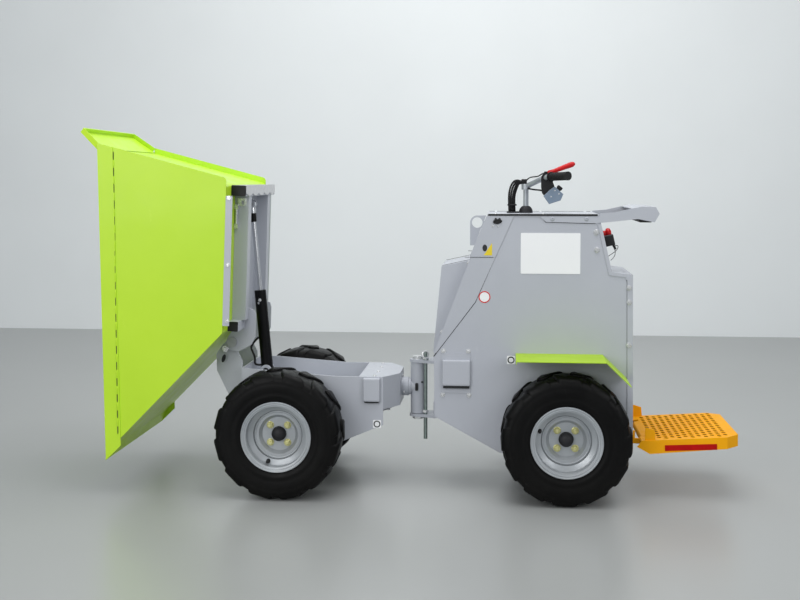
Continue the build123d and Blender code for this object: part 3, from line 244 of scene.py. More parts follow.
# %% finishes
finishes = {
    "paint_grey": surface(
        "grey_enamel", (0.425, 0.445, 0.495), (0.46, 0.48, 0.53), (0.36, 0.5), blotch=2.2,
        dust=(0.35, 0.35, 0.35), dust_top=0.25, scuff=(0.5, 0.52, 0.56), coat=0.12),
    "paint_lime": surface(
        "lime_enamel", (0.47, 0.74, 0.022), (0.53, 0.8, 0.032), (0.3, 0.44), blotch=1.6,
        dust=(0.38, 0.52, 0.03), dust_top=0.2, scuff=(0.58, 0.83, 0.06), coat=0.06, shine=0.35),
    "rim_silver": surface(
        "silver_lacquer", (0.36, 0.39, 0.42), (0.43, 0.46, 0.49), (0.3, 0.46), metal=0.35,
        blotch=9.0, dust=(0.27, 0.26, 0.24), dust_top=0.42, coat=0.2),
    "zinc_steel": surface(
        "zinc_plate", (0.6, 0.61, 0.62), (0.76, 0.77, 0.78), (0.2, 0.36), metal=0.6,
        blotch=60.0, grain=900.0, relief=0.2),
    "axle_black": surface(
        "black_casting", (0.01, 0.01, 0.012), (0.026, 0.026, 0.029), (0.42, 0.66), blotch=14.0,
        grain=230.0, relief=0.5, dust=(0.028, 0.026, 0.024), dust_top=0.2, shine=0.3),
    "paint_black": surface(
        "black_enamel", (0.0025, 0.0025, 0.003), (0.006, 0.006, 0.007), (0.3, 0.44), blotch=5.0,
        scuff=(0.012, 0.012, 0.013), coat=0.04, shine=0.14),
    "chrome_rod": surface(
        "hard_chrome", (0.62, 0.63, 0.66), (0.74, 0.75, 0.77), (0.1, 0.22), metal=1.0,
        blotch=20.0, grain=1200.0, relief=0.08, stretch=(1.0, 1.0, 0.1)),
    "black_plastic": surface(
        "black_moulding", (0.009, 0.009, 0.01), (0.018, 0.018, 0.02), (0.42, 0.6), blotch=12.0,
        grain=800.0, relief=0.35, shine=0.3),
    "black_rubber": surface(
        "black_rubber", (0.008, 0.008, 0.0085), (0.018, 0.018, 0.0185), (0.5, 0.75), blotch=18.0,
        grain=520.0, relief=0.45, shine=0.3),
    "tyre_rubber": surface(
        "tyre_rubber", (0.0018, 0.0018, 0.002), (0.0042, 0.0042, 0.0043), (0.34, 0.52),
        blotch=7.0, grain=300.0, relief=0.4, dust=(0.01, 0.009, 0.008), dust_top=0.25,
        scuff=(0.009, 0.0085, 0.008), shine=0.12),
    "paint_yellow": surface(
        "amber_enamel", (0.86, 0.37, 0.002), (0.93, 0.42, 0.003), (0.48, 0.62), blotch=5.0,
        dust=(0.7, 0.3, 0.006), dust_top=0.12, scuff=(0.95, 0.48, 0.03), shine=0.16),
    "red_plastic": surface(
        "red_moulding", (0.5, 0.006, 0.008), (0.62, 0.01, 0.012), (0.28, 0.4), blotch=20.0,
        coat=0.1, shine=0.3),
    "red_metal": surface(
        "red_lever_coat", (0.48, 0.006, 0.008), (0.6, 0.01, 0.012), (0.3, 0.44), blotch=20.0,
        coat=0.05, shine=0.28),
    "label_white": surface(
        "white_film", (0.86, 0.87, 0.885), (0.875, 0.885, 0.9), (0.3, 0.36), blotch=4.0,
        relief=0.05, coat=0.1),
    "battery_case": surface(
        "battery_case", (0.06, 0.06, 0.066), (0.1, 0.1, 0.108), (0.5, 0.7), blotch=8.0,
        grain=500.0),
    "box_blue_grey": surface(
        "blue_grey_moulding", (0.16, 0.22, 0.3), (0.21, 0.27, 0.35), (0.3, 0.45), blotch=16.0,
        grain=700.0, relief=0.3, coat=0.2),
}
finishes_of_node = {
    "mudguards": surface(
        "guard_enamel", (0.39, 0.6, 0.022), (0.43, 0.66, 0.03), (0.4, 0.52), blotch=3.0,
        dust=(0.3, 0.38, 0.05), dust_top=0.35, scuff=(0.5, 0.7, 0.12), shine=0.25),
    "lock_pin": surface(
        "lock_rod_steel", (0.2, 0.25, 0.235), (0.3, 0.35, 0.335), (0.3, 0.5), metal=0.7,
        blotch=50.0, relief=0.2),
    "tip_pins": surface(
        "pin_steel", (0.3, 0.31, 0.33), (0.38, 0.39, 0.41), (0.34, 0.5), metal=0.3,
        blotch=40.0, relief=0.2),
}
slot_of = {row["node"]: row["material_slot"] for row in frame["record"]["subparts"]}
for node_name, node in frame["nodes"].items():
    for slot in node.material_slots:
        slot.material = finishes_of_node.get(node_name) or finishes[slot_of[node_name]]
print(len(finishes), "finishes on", len(frame["nodes"]), "structure nodes")

# %% [markdown]
# Every added piece needs the same last steps: a mesh object at the origin, a finish, the body it
# moves with and the slot it is painted from. A small helper keeps those steps in one place, so
# that no piece is left without one of them. The shape helpers make what sheet-metal and turned
# parts share: outlines, a prism from an outline, a skin over rings of points and a turned shape
# from a half section. Basic solids with modifiers would also do, but leave more to take away.

# %% piece helpers
made_pieces = []


def to_mesh(form, name):
    """Turns a bmesh into a mesh whose faces point outwards."""
    bmesh.ops.remove_doubles(form, verts=form.verts, dist=1e-6)
    bmesh.ops.recalc_face_normals(form, faces=form.faces)
    mesh = bpy.data.meshes.new(name)
    form.to_mesh(mesh)
    form.free()
    return mesh


def keep(name, shape, body, slot_name, finish=None, smooth=False):
    """Shows a bmesh or a finished mesh as one piece that rides on a body."""
    mesh = to_mesh(shape, name) if isinstance(shape, bmesh.types.BMesh) else shape
    mesh.materials.clear()
    mesh.materials.append(finish or finishes[slot_name])
    for face in mesh.polygons:
        face.material_index = 0
        face.use_smooth = smooth
    piece = placed(name, mesh)
    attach(piece, body)
    made_pieces.append(piece)
    return piece

# %% shape helpers
def skin(form, rings, around=False, caps=False):
    """Faces between rings of points; a ring of one point makes a tip."""
    count = max(len(ring) for ring in rings)
    pairs = list(zip(rings, rings[1:])) + ([(rings[-1], rings[0])] if around else [])
    for low, high in pairs:
        for i in range(count):
            j = (i + 1) % count
            corners = dict.fromkeys((low[i % len(low)], low[j % len(low)],
                                     high[j % len(high)], high[i % len(high)]))
            if len(corners) > 2:
                form.faces.new(list(corners))
    if caps:
        form.faces.new(rings[0])
        form.faces.new(rings[-1])


def oval(across, up, steps, lean=0.0):
    """Outline of an oval, leaning sideways with height if asked."""
    turns = [2 * math.pi * i / steps for i in range(steps)]
    return [(across * math.cos(t) + lean * math.sin(t), up * math.sin(t)) for t in turns]


def rounded_box(width, height, radius, steps=5):
    """Outline of a rectangle with round corners, around its middle."""
    points = []
    x_end, y_end = width / 2 - radius, height / 2 - radius
    for quarter, (x, y) in enumerate(((x_end, y_end), (-x_end, y_end),
                                      (-x_end, -y_end), (x_end, -y_end))):
        for i in range(steps + 1):
            turn = math.radians(90 * quarter + 90 * i / steps)
            points.append((x + radius * math.cos(turn), y + radius * math.sin(turn)))
    return points


def moved(outline, x, z):
    """An outline moved to the place (x, z)."""
    return [(x + u, z + v) for u, v in outline]


def add_prism(form, outline, origin, right, up, depth):
    """Adds a prism: outline points along right and up from origin, depth along their normal."""
    right, up = Vector(right).normalized(), Vector(up).normalized()
    base = [form.verts.new(Vector(origin) + right * u + up * v) for u, v in outline]
    top = [form.verts.new(v.co + right.cross(up) * depth) for v in base]
    skin(form, [base, top], caps=True)


def add_turned(form, section, origin, axis, steps=48):
    """Adds a turned shape: section points are (along the axis, radius)."""
    axis = Vector(axis).normalized()
    side = axis.orthogonal().normalized()
    other = axis.cross(side)
    rings = []
    for along, radius in section:
        centre = Vector(origin) + axis * along
        turns = [2 * math.pi * i / steps for i in range(steps if radius > 1e-6 else 1)]
        rings.append([form.verts.new(centre + (side * math.cos(t) + other * math.sin(t)) * radius)
                      for t in turns])
    skin(form, rings, around=min(len(rings[0]), len(rings[-1])) > 1)


pivot_x = middle("kingpin").x
print("steering pivot at x", round(pivot_x, 4))

# %% [markdown]
# What repeats is made by node trees: a bolt on many spots, a lug around a tyre, a hole over a
# tread. Modelling each copy by hand would work, but a tree keeps one shape and a few named
# sizes, and every copy changes with them. The helpers below end each tree in the same way, set
# its inputs by their identifiers and read the result as a plain mesh.

# %% tree helpers
def new_tree(name, inputs):
    """A geometry node group with a geometry input and output and named inputs."""
    tree = bpy.data.node_groups.new(name, "GeometryNodeTree")
    for label, kind, value in [("Geometry", "Geometry", None), *inputs]:
        socket = tree.interface.new_socket(
            name=label, in_out="INPUT", socket_type="NodeSocket" + kind)
        if value is not None:
            socket.default_value = value
    tree.interface.new_socket(
        name="Geometry", in_out="OUTPUT", socket_type="NodeSocketGeometry")
    return tree, add_node(tree, "NodeGroupInput").outputs


def close_tree(tree, finish, copies):
    """Puts copies on points and ends the tree in Realize Instances and Set Material."""
    spread = add_node(tree, "GeometryNodeInstanceOnPoints", copies)
    real = add_node(tree, "GeometryNodeRealizeInstances", {
        "Geometry": spread.outputs["Instances"]})
    paint = add_node(tree, "GeometryNodeSetMaterial", {
        "Geometry": real.outputs["Geometry"], "Material": finish})
    add_node(tree, "NodeGroupOutput", {"Geometry": paint.outputs["Geometry"]})


def grown(tree, base_mesh, values):
    """The plain mesh that a tree makes from a base mesh and named input values."""
    live = placed("live_" + tree.name, base_mesh)
    modifier = live.modifiers.new(tree.name, "NODES")
    modifier.node_group = tree
    for socket in tree.interface.items_tree:
        if socket.in_out == "INPUT" and socket.name in values:
            modifier[socket.identifier] = values[socket.name]
    return plain_mesh(live)


def spots_mesh(spots):
    """Loose points that carry the way they face and their size."""
    mesh = bpy.data.meshes.new("spots")
    mesh.from_pydata([place for place, way, size in spots], [], [])
    ways = mesh.attributes.new("way", "FLOAT_VECTOR", "POINT")
    ways.data.foreach_set("vector", [c for _, way, _ in spots for c in Vector(way).normalized()])
    sizes = mesh.attributes.new("size", "FLOAT", "POINT")
    sizes.data.foreach_set("value", [size for _, _, size in spots])
    return mesh

# %% [markdown]
# A tyre of this kind has a smooth round carcass and chunky bars that run from the middle of the
# tread over the shoulder, left and right in turn. The carcass is turned from its section. One
# pair of bars is shaped on the tyre's own curve, and a tree repeats the pair around the axle.
# Carving the grooves out of a solid tread would give the same look with far more faces.

# %% tyre carcass
tyre_low, tyre_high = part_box("tyre_front_left")
tyre_r = (tyre_high.z - tyre_low.z) / 2
tyre_half = (tyre_high.y - tyre_low.y) / 2 - 0.0002
bar_height, bar_root, bar_edge = 0.0087, 0.004, 0.0015
foot_share, top_share = 1.22, 0.86
shoulder_share, run_out = 0.84, 0.19
carcass_r = tyre_r - bar_height - 0.0001
bead_r = 0.1274

# share of the half width, radius
sidewall = [(share, bead_r + rise) for share, rise in (
    (0.8, 0), (0.86, 0.006), (0.885, 0.014), (0.875, 0.018), (0.93, 0.03), (0.965, 0.042),
    (0.958, 0.0435), (0.985, 0.056), (1.0, 0.07), (0.99, 0.084), (0.972, 0.092))]
shoulder = [(0.45, carcass_r), (0.74, carcass_r - 0.002), (0.88, carcass_r - 0.008),
            (0.945, carcass_r - 0.018), (0.975, bead_r + 0.0945)]
half_section = sidewall + shoulder[::-1]
carcass_section = [(-a, r) for a, r in half_section] + half_section[::-1]


def tread_curve(a):
    """Carcass radius at the width share a, from 0 in the middle to 1 at the sidewall."""
    outer = [(0.0, carcass_r), *shoulder, (1.0, bead_r + 0.07)]
    for (a0, r0), (a1, r1) in zip(outer, outer[1:]):
        if a <= a1:
            return r0 + (r1 - r0) * (a - a0) / (a1 - a0)


def height_at(a):
    """Height of a bar over the carcass: full on the tread, running out down the shoulder."""
    if a < shoulder_share:
        return bar_height
    return max(0.0, bar_height * (1 - (a - shoulder_share) / run_out)) + 0.0008


def add_bar(form, side, turn_start):
    """Adds one tread bar, curved forwards from the middle to the shoulder on one side."""
    rows = []
    for a in (0.02, 0.16, 0.3, 0.45, 0.6, 0.74, 0.84, 0.91, 0.965):
        lean = turn_start + 0.2 * (a ** 1.35)
        half_width = (0.02 + 0.029 * a) / tyre_r
        base_r = tread_curve(a) - bar_root
        top_r = min(tread_curve(a) + height_at(a), tyre_r - 0.00005)
        row = []
        for share, radius in ((-foot_share, base_r), (-1.0, top_r - bar_edge),
                              (-top_share, top_r), (top_share, top_r),
                              (1.0, top_r - bar_edge), (foot_share, base_r)):
            turn = lean + share * half_width
            row.append(form.verts.new((
                radius * math.sin(turn), side * a * tyre_half, radius * math.cos(turn))))
        rows.append(row)
    skin(form, rows, caps=True)


bar_pairs = 12
bar_form = bmesh.new()
add_bar(bar_form, -1, 0.0)
add_bar(bar_form, 1, math.pi / bar_pairs)
bar_mesh = to_mesh(bar_form, "tread_bar_pair")
print("one pair of tread bars has", len(bar_mesh.polygons), "faces")

# %% tread tree
around, given = new_tree("around_axle", [("Pairs", "Int", 12), ("Finish", "Material", None)])
line = add_node(around, "GeometryNodeMeshLine", {"Offset": (0, 0, 0), "Count": given["Pairs"]})
index = add_node(around, "GeometryNodeInputIndex")
part_turn = add_node(around, "ShaderNodeMath", {
    0: index.outputs["Index"], 1: given["Pairs"]}, operation="DIVIDE")
full_turn = add_node(around, "ShaderNodeMath", {
    0: part_turn.outputs["Value"], 1: 2 * math.pi}, operation="MULTIPLY")
spin = add_node(around, "ShaderNodeCombineXYZ", {"Y": full_turn.outputs["Value"]})
close_tree(around, given["Finish"], {
    "Points": line.outputs["Mesh"], "Instance": given["Geometry"],
    "Rotation": spin.outputs["Vector"]})

tread_mesh = grown(around, bar_mesh, {"Pairs": bar_pairs, "Finish": finishes["tyre_rubber"]})
print("the tread has", len(tread_mesh.polygons), "faces")

# %% four tyres
corners = ("front_left", "front_right", "rear_left", "rear_right")
side_of = {corner: -1 if corner.endswith("left") else 1 for corner in corners}
tread_turn = {"front": 0.13, "rear": 0.4}
for corner in corners:
    centre = middle("tyre_" + corner)
    form = bmesh.new()
    form.from_mesh(tread_mesh)
    turns = [(tread_turn[corner.split("_")[0]], "Y")]
    if side_of[corner] > 0:
        turns.insert(0, (math.pi, "Z"))
    for angle, axis in turns:
        bmesh.ops.rotate(form, verts=form.verts, cent=(0, 0, 0),
                         matrix=Matrix.Rotation(angle, 3, axis))
    bmesh.ops.translate(form, verts=form.verts, vec=centre)
    add_turned(form, [(a * tyre_half, r) for a, r in carcass_section], centre, (0, 1, 0), 96)
    tyre = keep("tyre_" + corner + "_look", form, "wheel_" + corner, "tyre_rubber", smooth=True)
    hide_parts("tyre_" + corner)
print("four tyres replace the plain ones")

# %% [markdown]
# Bolts, nuts and screws hold every cover on. They come in a few head shapes, so each head is
# shaped once at the size of one, and a tree puts a copy on every marked spot, turned to face the
# way the spot faces and scaled to its size. Copying objects one by one would also do, but then a
# change of size would have to be made many times.

# %% fastener heads
def shape_object(name, sections):
    """A shape for the trees as a hidden object: each section is (points, sides)."""
    form = bmesh.new()
    for points, sides in sections:
        add_turned(form, points, (0, 0, 0), (0, 0, 1), sides)
    return bpy.data.objects.new(name, to_mesh(form, name))


hex_head = shape_object("hex_head", [
    ([(-0.1, 0), (-0.1, 1.45), (0.16, 1.5), (0.22, 1.42), (0.22, 0)], 20),
    ([(0.2, 0), (0.2, 0.98), (0.86, 0.98), (1.0, 0.84), (1.0, 0)], 6)])
nut_on_stud = shape_object("nut_on_stud", [
    ([(-0.1, 0), (-0.1, 1.28), (0.14, 1.28), (0.2, 1.16), (0.2, 0)], 20),
    ([(0.18, 0), (0.18, 1.03), (1.06, 1.03), (1.16, 0.9), (1.16, 0)], 6),
    ([(1.1, 0), (1.1, 0.56), (1.46, 0.56), (1.54, 0.46), (1.54, 0)], 14)])
button_head = shape_object("button_head", [
    ([(-0.1, 0), (-0.1, 1.0), (0.12, 1.0), (0.42, 0.82), (0.58, 0.52), (0.58, 0.42),
      (0.26, 0.38), (0.26, 0)], 16)])
print("heads:", [len(h.data.polygons) for h in (hex_head, nut_on_stud, button_head)], "faces")

# %% fastener tree
def spot_value(tree, name, kind):
    """Reads what a spot carries."""
    node = add_node(tree, "GeometryNodeInputNamedAttribute", {"Name": name}, data_type=kind)
    return next(s for s in node.outputs if s.enabled and s.name == "Attribute")


def facing(tree, way):
    """A rotation that turns Z to face along a direction."""
    node = add_node(tree, "FunctionNodeAlignRotationToVector", {"Vector": way}, axis="Z")
    return node.outputs["Rotation"]


fasten, given = new_tree("fasteners", [
    ("Head", "Object", None), ("Size", "Float", 1.0), ("Finish", "Material", None)])
head_info = add_node(fasten, "GeometryNodeObjectInfo", {"Object": given["Head"]})
scaled = add_node(fasten, "ShaderNodeMath", {
    0: spot_value(fasten, "size", "FLOAT"), 1: given["Size"]}, operation="MULTIPLY")
close_tree(fasten, given["Finish"], {
    "Points": given["Geometry"], "Instance": head_info.outputs["Geometry"],
    "Rotation": facing(fasten, spot_value(fasten, "way", "FLOAT_VECTOR")),
    "Scale": scaled.outputs["Value"]})


def spread(head, spots, finish):
    """A plain mesh with a head on every spot (place, way, size), in metres."""
    return grown(fasten, spots_mesh(spots), {"Head": head, "Size": 1.0, "Finish": finish})


def fasteners(name, head, spots, body, slot_name, finish=None, smooth=False):
    """One piece with a head on every spot."""
    mesh = spread(head, spots, finish or finishes[slot_name])
    keep(name, mesh, body, slot_name, finish, smooth)


print("the fastener tree takes", list(given.keys()))

# %% [markdown]
# Each wheel is held by four nuts on studs, plated in a yellowish zinc, around a black dust cap.
# A short rubber valve stands in the rim's well. The nuts are hexagons from the fastener tree and
# the valve is a turned shape, since it is round all the way along.

# %% wheel nuts and valves
yellow_zinc = surface("yellow_zinc_plate", (0.5, 0.48, 0.2), (0.72, 0.7, 0.36), (0.2, 0.34),
                      metal=0.45, blotch=90.0, grain=900.0, relief=0.2)
nut_y, nut_circle, nut_size = 0.342, 0.05, 0.0118
valve_y, valve_circle = 0.372, 0.112
valve_section = [(-0.004, 0), (-0.004, 0.0085), (0.004, 0.0085), (0.007, 0.0055), (0.012, 0.005),
                 (0.014, 0.0062), (0.022, 0.0062), (0.0235, 0.0045), (0.0235, 0)]
valve_turns = {"front_left": 250, "rear_left": 160, "front_right": 300, "rear_right": 40}


def on_wheel(corner, degrees, radius, y):
    """A place on a wheel at an angle and a radius."""
    centre, turn = middle("rim_" + corner), math.radians(degrees)
    return Vector((centre.x + radius * math.cos(turn), side_of[corner] * y,
                   centre.z + radius * math.sin(turn)))


for corner, valve_turn in valve_turns.items():
    way, body = (0, side_of[corner], 0), "wheel_" + corner
    spots = [(on_wheel(corner, turn, nut_circle, nut_y), way, nut_size)
             for turn in (45, 135, 225, 315)]
    fasteners("wheel_nuts_" + corner, nut_on_stud, spots, body, "zinc_steel", yellow_zinc)
    form = bmesh.new()
    add_turned(form, valve_section, on_wheel(corner, valve_turn, valve_circle, valve_y), way, 20)
    keep("valve_" + corner, form, body, "black_rubber", smooth=True)
print("sixteen wheel nuts and four valves")

# %% [markdown]
# The covers of the rear body are bolted from the sides, from above and from below, and four
# screws hold the deck of the front frame. The spots are listed as distances on the machine,
# mostly once for both sides, and a helper writes each one for the left and the right. Heads on
# paint are the same grey as the sheet, or bare zinc.

# %% body fasteners
def on_sides(places, y, size, sides=(-1, 1)):
    """Spots (x, z) on the left and right face at y, in metres."""
    return [((x, side * y, z), (0, side, 0), size) for x, z in places for side in sides]


def level_spots(places, z, size, up=1):
    """Spots (x, y) on a level face that looks up or down."""
    return [((x, y, z), (0, 0, up), size) for x, y in places]


cover_y, flange_y, hoop_y, nose_y = 0.205, 0.2083, 0.209, 0.16
lid_z, belly_z, deck_z = 1.149, 0.1665, 0.471
fasteners("hoop_screws", button_head, on_sides([(0.5865, 1.131), (0.7227, 1.131)], hoop_y, 0.0085),
          "rear_body", "paint_grey")
fasteners("cover_bolts", hex_head, [
    *on_sides([(0.7632, 1.0765), (0.7661, 1.005)], cover_y, 0.0078),
    *on_sides([(0.8965, 0.852), (0.897, 0.794), (0.897, 0.62)], flange_y, 0.0072),
    *on_sides([(0.2477, 0.9457), (0.1367, 0.658)], nose_y, 0.0058),
    *on_sides([(0.1451, 0.5845), (0.2474, 0.5845), (0.2505, 0.4045), (0.1425, 0.4045)],
              cover_y, 0.0068, sides=(-1,))], "rear_body", "zinc_steel")
fasteners("lid_screws", button_head, level_spots(
    [(x, y) for x in (0.356, 0.55, 0.742) for y in (-0.185, 0.185)], lid_z, 0.0062),
    "rear_body", "zinc_steel")
fasteners("belly_bolts", hex_head, level_spots(
    [(x, y) for x in (0.4, 0.52, 0.66, 0.78) for y in (-0.17, 0.17)], belly_z, 0.008, up=-1),
    "rear_body", "zinc_steel")
fasteners("deck_screws", button_head, level_spots(
    [(-0.1445, -0.165), (-0.14, -0.06), (-0.14, 0.06), (-0.1445, 0.165)], deck_z, 0.0075),
    "front_frame", "zinc_steel")
print("body, deck and belly fasteners are on")

# %% [markdown]
# The rim of the skip is a band welded on with short stitches: a bead as long as a finger, then a
# gap where the seam stays open and lies in shade. A tree puts a bead at every step along the band
# and a second run of it puts a dark olive strip between the beads, painted shade for the open seam.
# The runs lean outwards a little towards the bottom, where the band stands out over the side. A
# painted line would look flat, and the beads catch the light as the real ones do.

# %% stitch welds
bead_shape = shape_object("bead_shape", [
    ([(-0.5, 0), (-0.47, 0.28), (-0.38, 0.44), (-0.2, 0.5), (0.2, 0.5), (0.38, 0.44),
      (0.47, 0.28), (0.5, 0)], 10)])
stitch, given = new_tree("stitch_run", [
    ("Bead", "Object", None), ("Count", "Int", 18), ("From", "Vector", None),
    ("To", "Vector", None), ("Long", "Float", 0.03), ("Wide", "Float", 0.005),
    ("Finish", "Material", None)])
run = add_node(stitch, "GeometryNodeMeshLine", {
    "Count": given["Count"], "Start Location": given["From"], "Offset": given["To"]},
    mode="END_POINTS")
bead_info = add_node(stitch, "GeometryNodeObjectInfo", {"Object": given["Bead"]})
direction = add_node(stitch, "ShaderNodeVectorMath", {
    0: given["To"], 1: given["From"]}, operation="SUBTRACT")
bead_size = add_node(stitch, "ShaderNodeCombineXYZ", {
    "X": given["Wide"], "Y": given["Wide"], "Z": given["Long"]})
close_tree(stitch, given["Finish"], {
    "Points": run.outputs["Mesh"], "Instance": bead_info.outputs["Geometry"],
    "Rotation": facing(stitch, direction.outputs["Vector"]),
    "Scale": bead_size.outputs["Vector"]})

# dark olive, a shaded copy of the lime: painted shade in the open seam between the beads
seam_shade = surface("open_seam", (0.05, 0.085, 0.006), (0.1, 0.16, 0.012), (0.6, 0.8),
                    blotch=60.0, grain=600.0, relief=0.3)
nothing = bpy.data.meshes.new("nothing")
high_y, low_y = 0.3815, 0.3862
# name, finish, high end and low end (x, z), count, length, width
for name, finish, high, low, count, long, wide in (
        ("rim_seam", seam_shade, (-1.1776, 1.385), (-1.1714, 0.272), 18, 0.036, 0.0042),
        ("rim_stitches", finishes["paint_lime"], (-1.1774, 1.354), (-1.1716, 0.3), 17,
         0.03, 0.0064)):
    form = bmesh.new()
    for side in (-1, 1):
        form.from_mesh(grown(stitch, nothing, {
            "Bead": bead_shape, "Count": count, "From": (high[0], side * high_y, high[1]),
            "To": (low[0], side * low_y, low[1]), "Long": long, "Wide": wide,
            "Finish": finish}))
    keep(name, form, "skip", "paint_lime", finish, smooth=True)
print("stitch welds along both sides of the rim")

# %% [markdown]
# The operator stands on a tread of punched sheet. Every hole is pushed up into a low collar that
# grips a boot. The holes are real: one tree sets a small slanted cutter on every place of a
# staggered grid, and a boolean takes all of them out of a copy of the tray. The same grid then
# gets the collars and a dark brown sheet on the walls of the holes, which paints the shade inside
# them. Drawing the holes in a material would look flat from low down.

# %% tread grid
hinge = joint_place("step_fold")
tread_slope = math.atan(21.0 / 335.0)
columns, rows = 12, 13
column_pitch, row_pitch = 0.0262, 0.0345
post_clear_x, post_clear_y = 0.052, 0.212
tread_spots = []
tread_way = Vector((-math.sin(tread_slope), 0, math.cos(tread_slope)))
for c in range(columns):
    for r in range(rows):
        x = 0.03 + c * column_pitch
        y = (r - (rows - 1) / 2) * row_pitch + (row_pitch / 4 if c % 2 else -row_pitch / 4)
        if x >= post_clear_x or abs(y) <= post_clear_y:
            z = 0.016 + (x + 0.018) * math.tan(tread_slope)
            tread_spots.append(((hinge.x + x, y, hinge.z + z), tread_way, 1.0))
print(len(tread_spots), "holes in the tread")

hole_long, hole_short, hole_turn = 0.0112, 0.0068, 0.55


def oval_shape(name, stations, closed=True, sides=12):
    """A slanted oval turned shape as a hidden object: stations of (height, growth)."""
    form = bmesh.new()
    cos, sin = math.cos(hole_turn), math.sin(hole_turn)
    rings = [[form.verts.new((x * cos - y * sin, x * sin + y * cos, height))
              for x, y in oval(hole_short + growth, hole_long + growth, sides)]
             for height, growth in stations]
    skin(form, rings, around=closed, caps=not closed)
    return bpy.data.objects.new(name, to_mesh(form, name))


cutter = oval_shape("hole_cutter", [(-0.012, 0), (0.006, 0)], closed=False)
collar = oval_shape("hole_collar", [(-0.0036, -0.0002), (0.0012, -0.0004), (0.0016, 0.0004),
                                    (0.0012, 0.0014), (-0.0004, 0.0034)])
# a thin oval sleeve on the hole walls that carries the painted shade inside the holes
shade_sheet = oval_shape("hole_liner", [(-0.0042, -0.0005), (0.0013, -0.0007), (0.0013, -0.0002),
                                  (-0.0042, 0.0002)])

# %% perforated step
step_form = bmesh.new()
step_form.from_mesh(frame["nodes"]["step_platform"].data)
tray = placed("tray_blank", to_mesh(step_form, "step_tray"))
cutters = placed("tread_cutters", spread(cutter, tread_spots, finishes["paint_yellow"]))
cut = tray.modifiers.new("holes", "BOOLEAN")
cut.operation, cut.solver, cut.object = "DIFFERENCE", "EXACT", cutters
holed = plain_mesh(tray)
bpy.data.objects.remove(cutters)
print("tray with holes has", len(holed.polygons), "faces")
step_look = keep("step_tray_look", holed, "step", "paint_yellow")
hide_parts("step_platform")
# dark brown, a shaded copy of the amber: painted shade inside the holes
hole_shade = surface("shaded_hole", (0.05, 0.016, 0.001), (0.08, 0.026, 0.002), (0.6, 0.8),
                     blotch=60.0, relief=0.2, shine=0.1)
fasteners("tread_hole_walls", shade_sheet, tread_spots, "step", "paint_yellow", hole_shade, True)
fasteners("tread_collars", collar, tread_spots, "step", "paint_yellow", None, True)

# %% [markdown]
# A long red reflector is stuck on each side of the step. It is moulded with small cells that
# throw light back, so its relief is a fine regular pattern under a glossy skin. Its plate is a
# thin prism with round corners, laid along the skirt's own slope.

# %% reflectors
reflector_red = surface("reflector_red", (0.4, 0.0015, 0.001), (0.5, 0.003, 0.0015),
                        (0.4, 0.5), blotch=30.0, coat=0.05, shine=0.15)
tree = reflector_red.node_tree
place = add_node(tree, "ShaderNodeTexCoord").outputs["Object"]
cells = add_node(tree, "ShaderNodeTexVoronoi", {
    "Vector": place, "Scale": 260.0, "Randomness": 0.0}, distance="CHEBYCHEV")
bump = next(n for n in tree.nodes if n.type == "BUMP")
set_inputs(tree, bump, {"Strength": 0.5, "Height": cells.outputs["Distance"]})

tilt = math.radians(2.6)
form = bmesh.new()
for side in (-1, 1):
    right = Vector((math.cos(tilt), 0, math.sin(tilt))) * -side
    up = Vector((-math.sin(tilt), 0, math.cos(tilt)))
    add_prism(form, rounded_box(0.206, 0.0235, 0.0015), (1.1425, side * 0.2449, 0.2155),
              right, up, 0.0016)
keep("step_reflectors", form, "step", "red_plastic", reflector_red)
print("reflectors on both sides of the step")

# %% [markdown]
# Some small plates and stickers sit on the paint. They stay blank here: a plain white square
# with a black ring at each lashing point, a red-rimmed disc, and a yellow patch beside a dark
# oval. Each is a very thin prism over the sheet, because a sticker has an edge that shows.

# %% stickers
def side_plate(form, outline, side, y, depth):
    """Adds a prism on the left or right face from (x, z) points, standing out by depth."""
    add_prism(form, [(-side * x, z) for x, z in outline], (0, side * y, 0),
              (-side, 0, 0), (0, 0, 1), depth)


def side_ring(form, centre, outer, inner, side, y, depth):
    """Adds a flat ring on the left or right face around centre (x, z)."""
    add_turned(form, [(0, inner), (0, outer), (depth, outer), (depth, inner)],
               (centre[0], side * y, centre[1]), (0, side, 0), 36)


def keep_plate(name, outline, y, depth, body, slot_name, finish=None):
    """One piece that is a plate on the left face."""
    form = bmesh.new()
    side_plate(form, outline, -1, y, depth)
    return keep(name, form, body, slot_name, finish)


film = {"blotch": 20.0, "relief": 0.05}
film_black = surface("black_film", (0.012, 0.012, 0.014), (0.03, 0.03, 0.034), (0.3, 0.45), **film)
film_red = surface("red_film", (0.55, 0.02, 0.02), (0.68, 0.035, 0.03), (0.3, 0.42), **film)
film_yellow = surface("yellow_film", (0.72, 0.55, 0.02), (0.82, 0.64, 0.04), (0.3, 0.42), **film)

film_lift = 0.0004
for body, x, z, y in (("front_frame", -0.1316, 0.274, 0.19),
                      ("rear_body", 0.422, 0.5523, cover_y)):
    squares, rings = bmesh.new(), bmesh.new()
    for side in (-1, 1):
        side_plate(squares, moved(rounded_box(0.034, 0.034, 0.003), x, z), side, y, 0.0006)
        side_ring(rings, (x, z), 0.0145, 0.0098, side, y + film_lift, 0.0006)
    keep(body + "_ring_squares", squares, body, "label_white")
    keep(body + "_rings", rings, body, "paint_black", film_black)

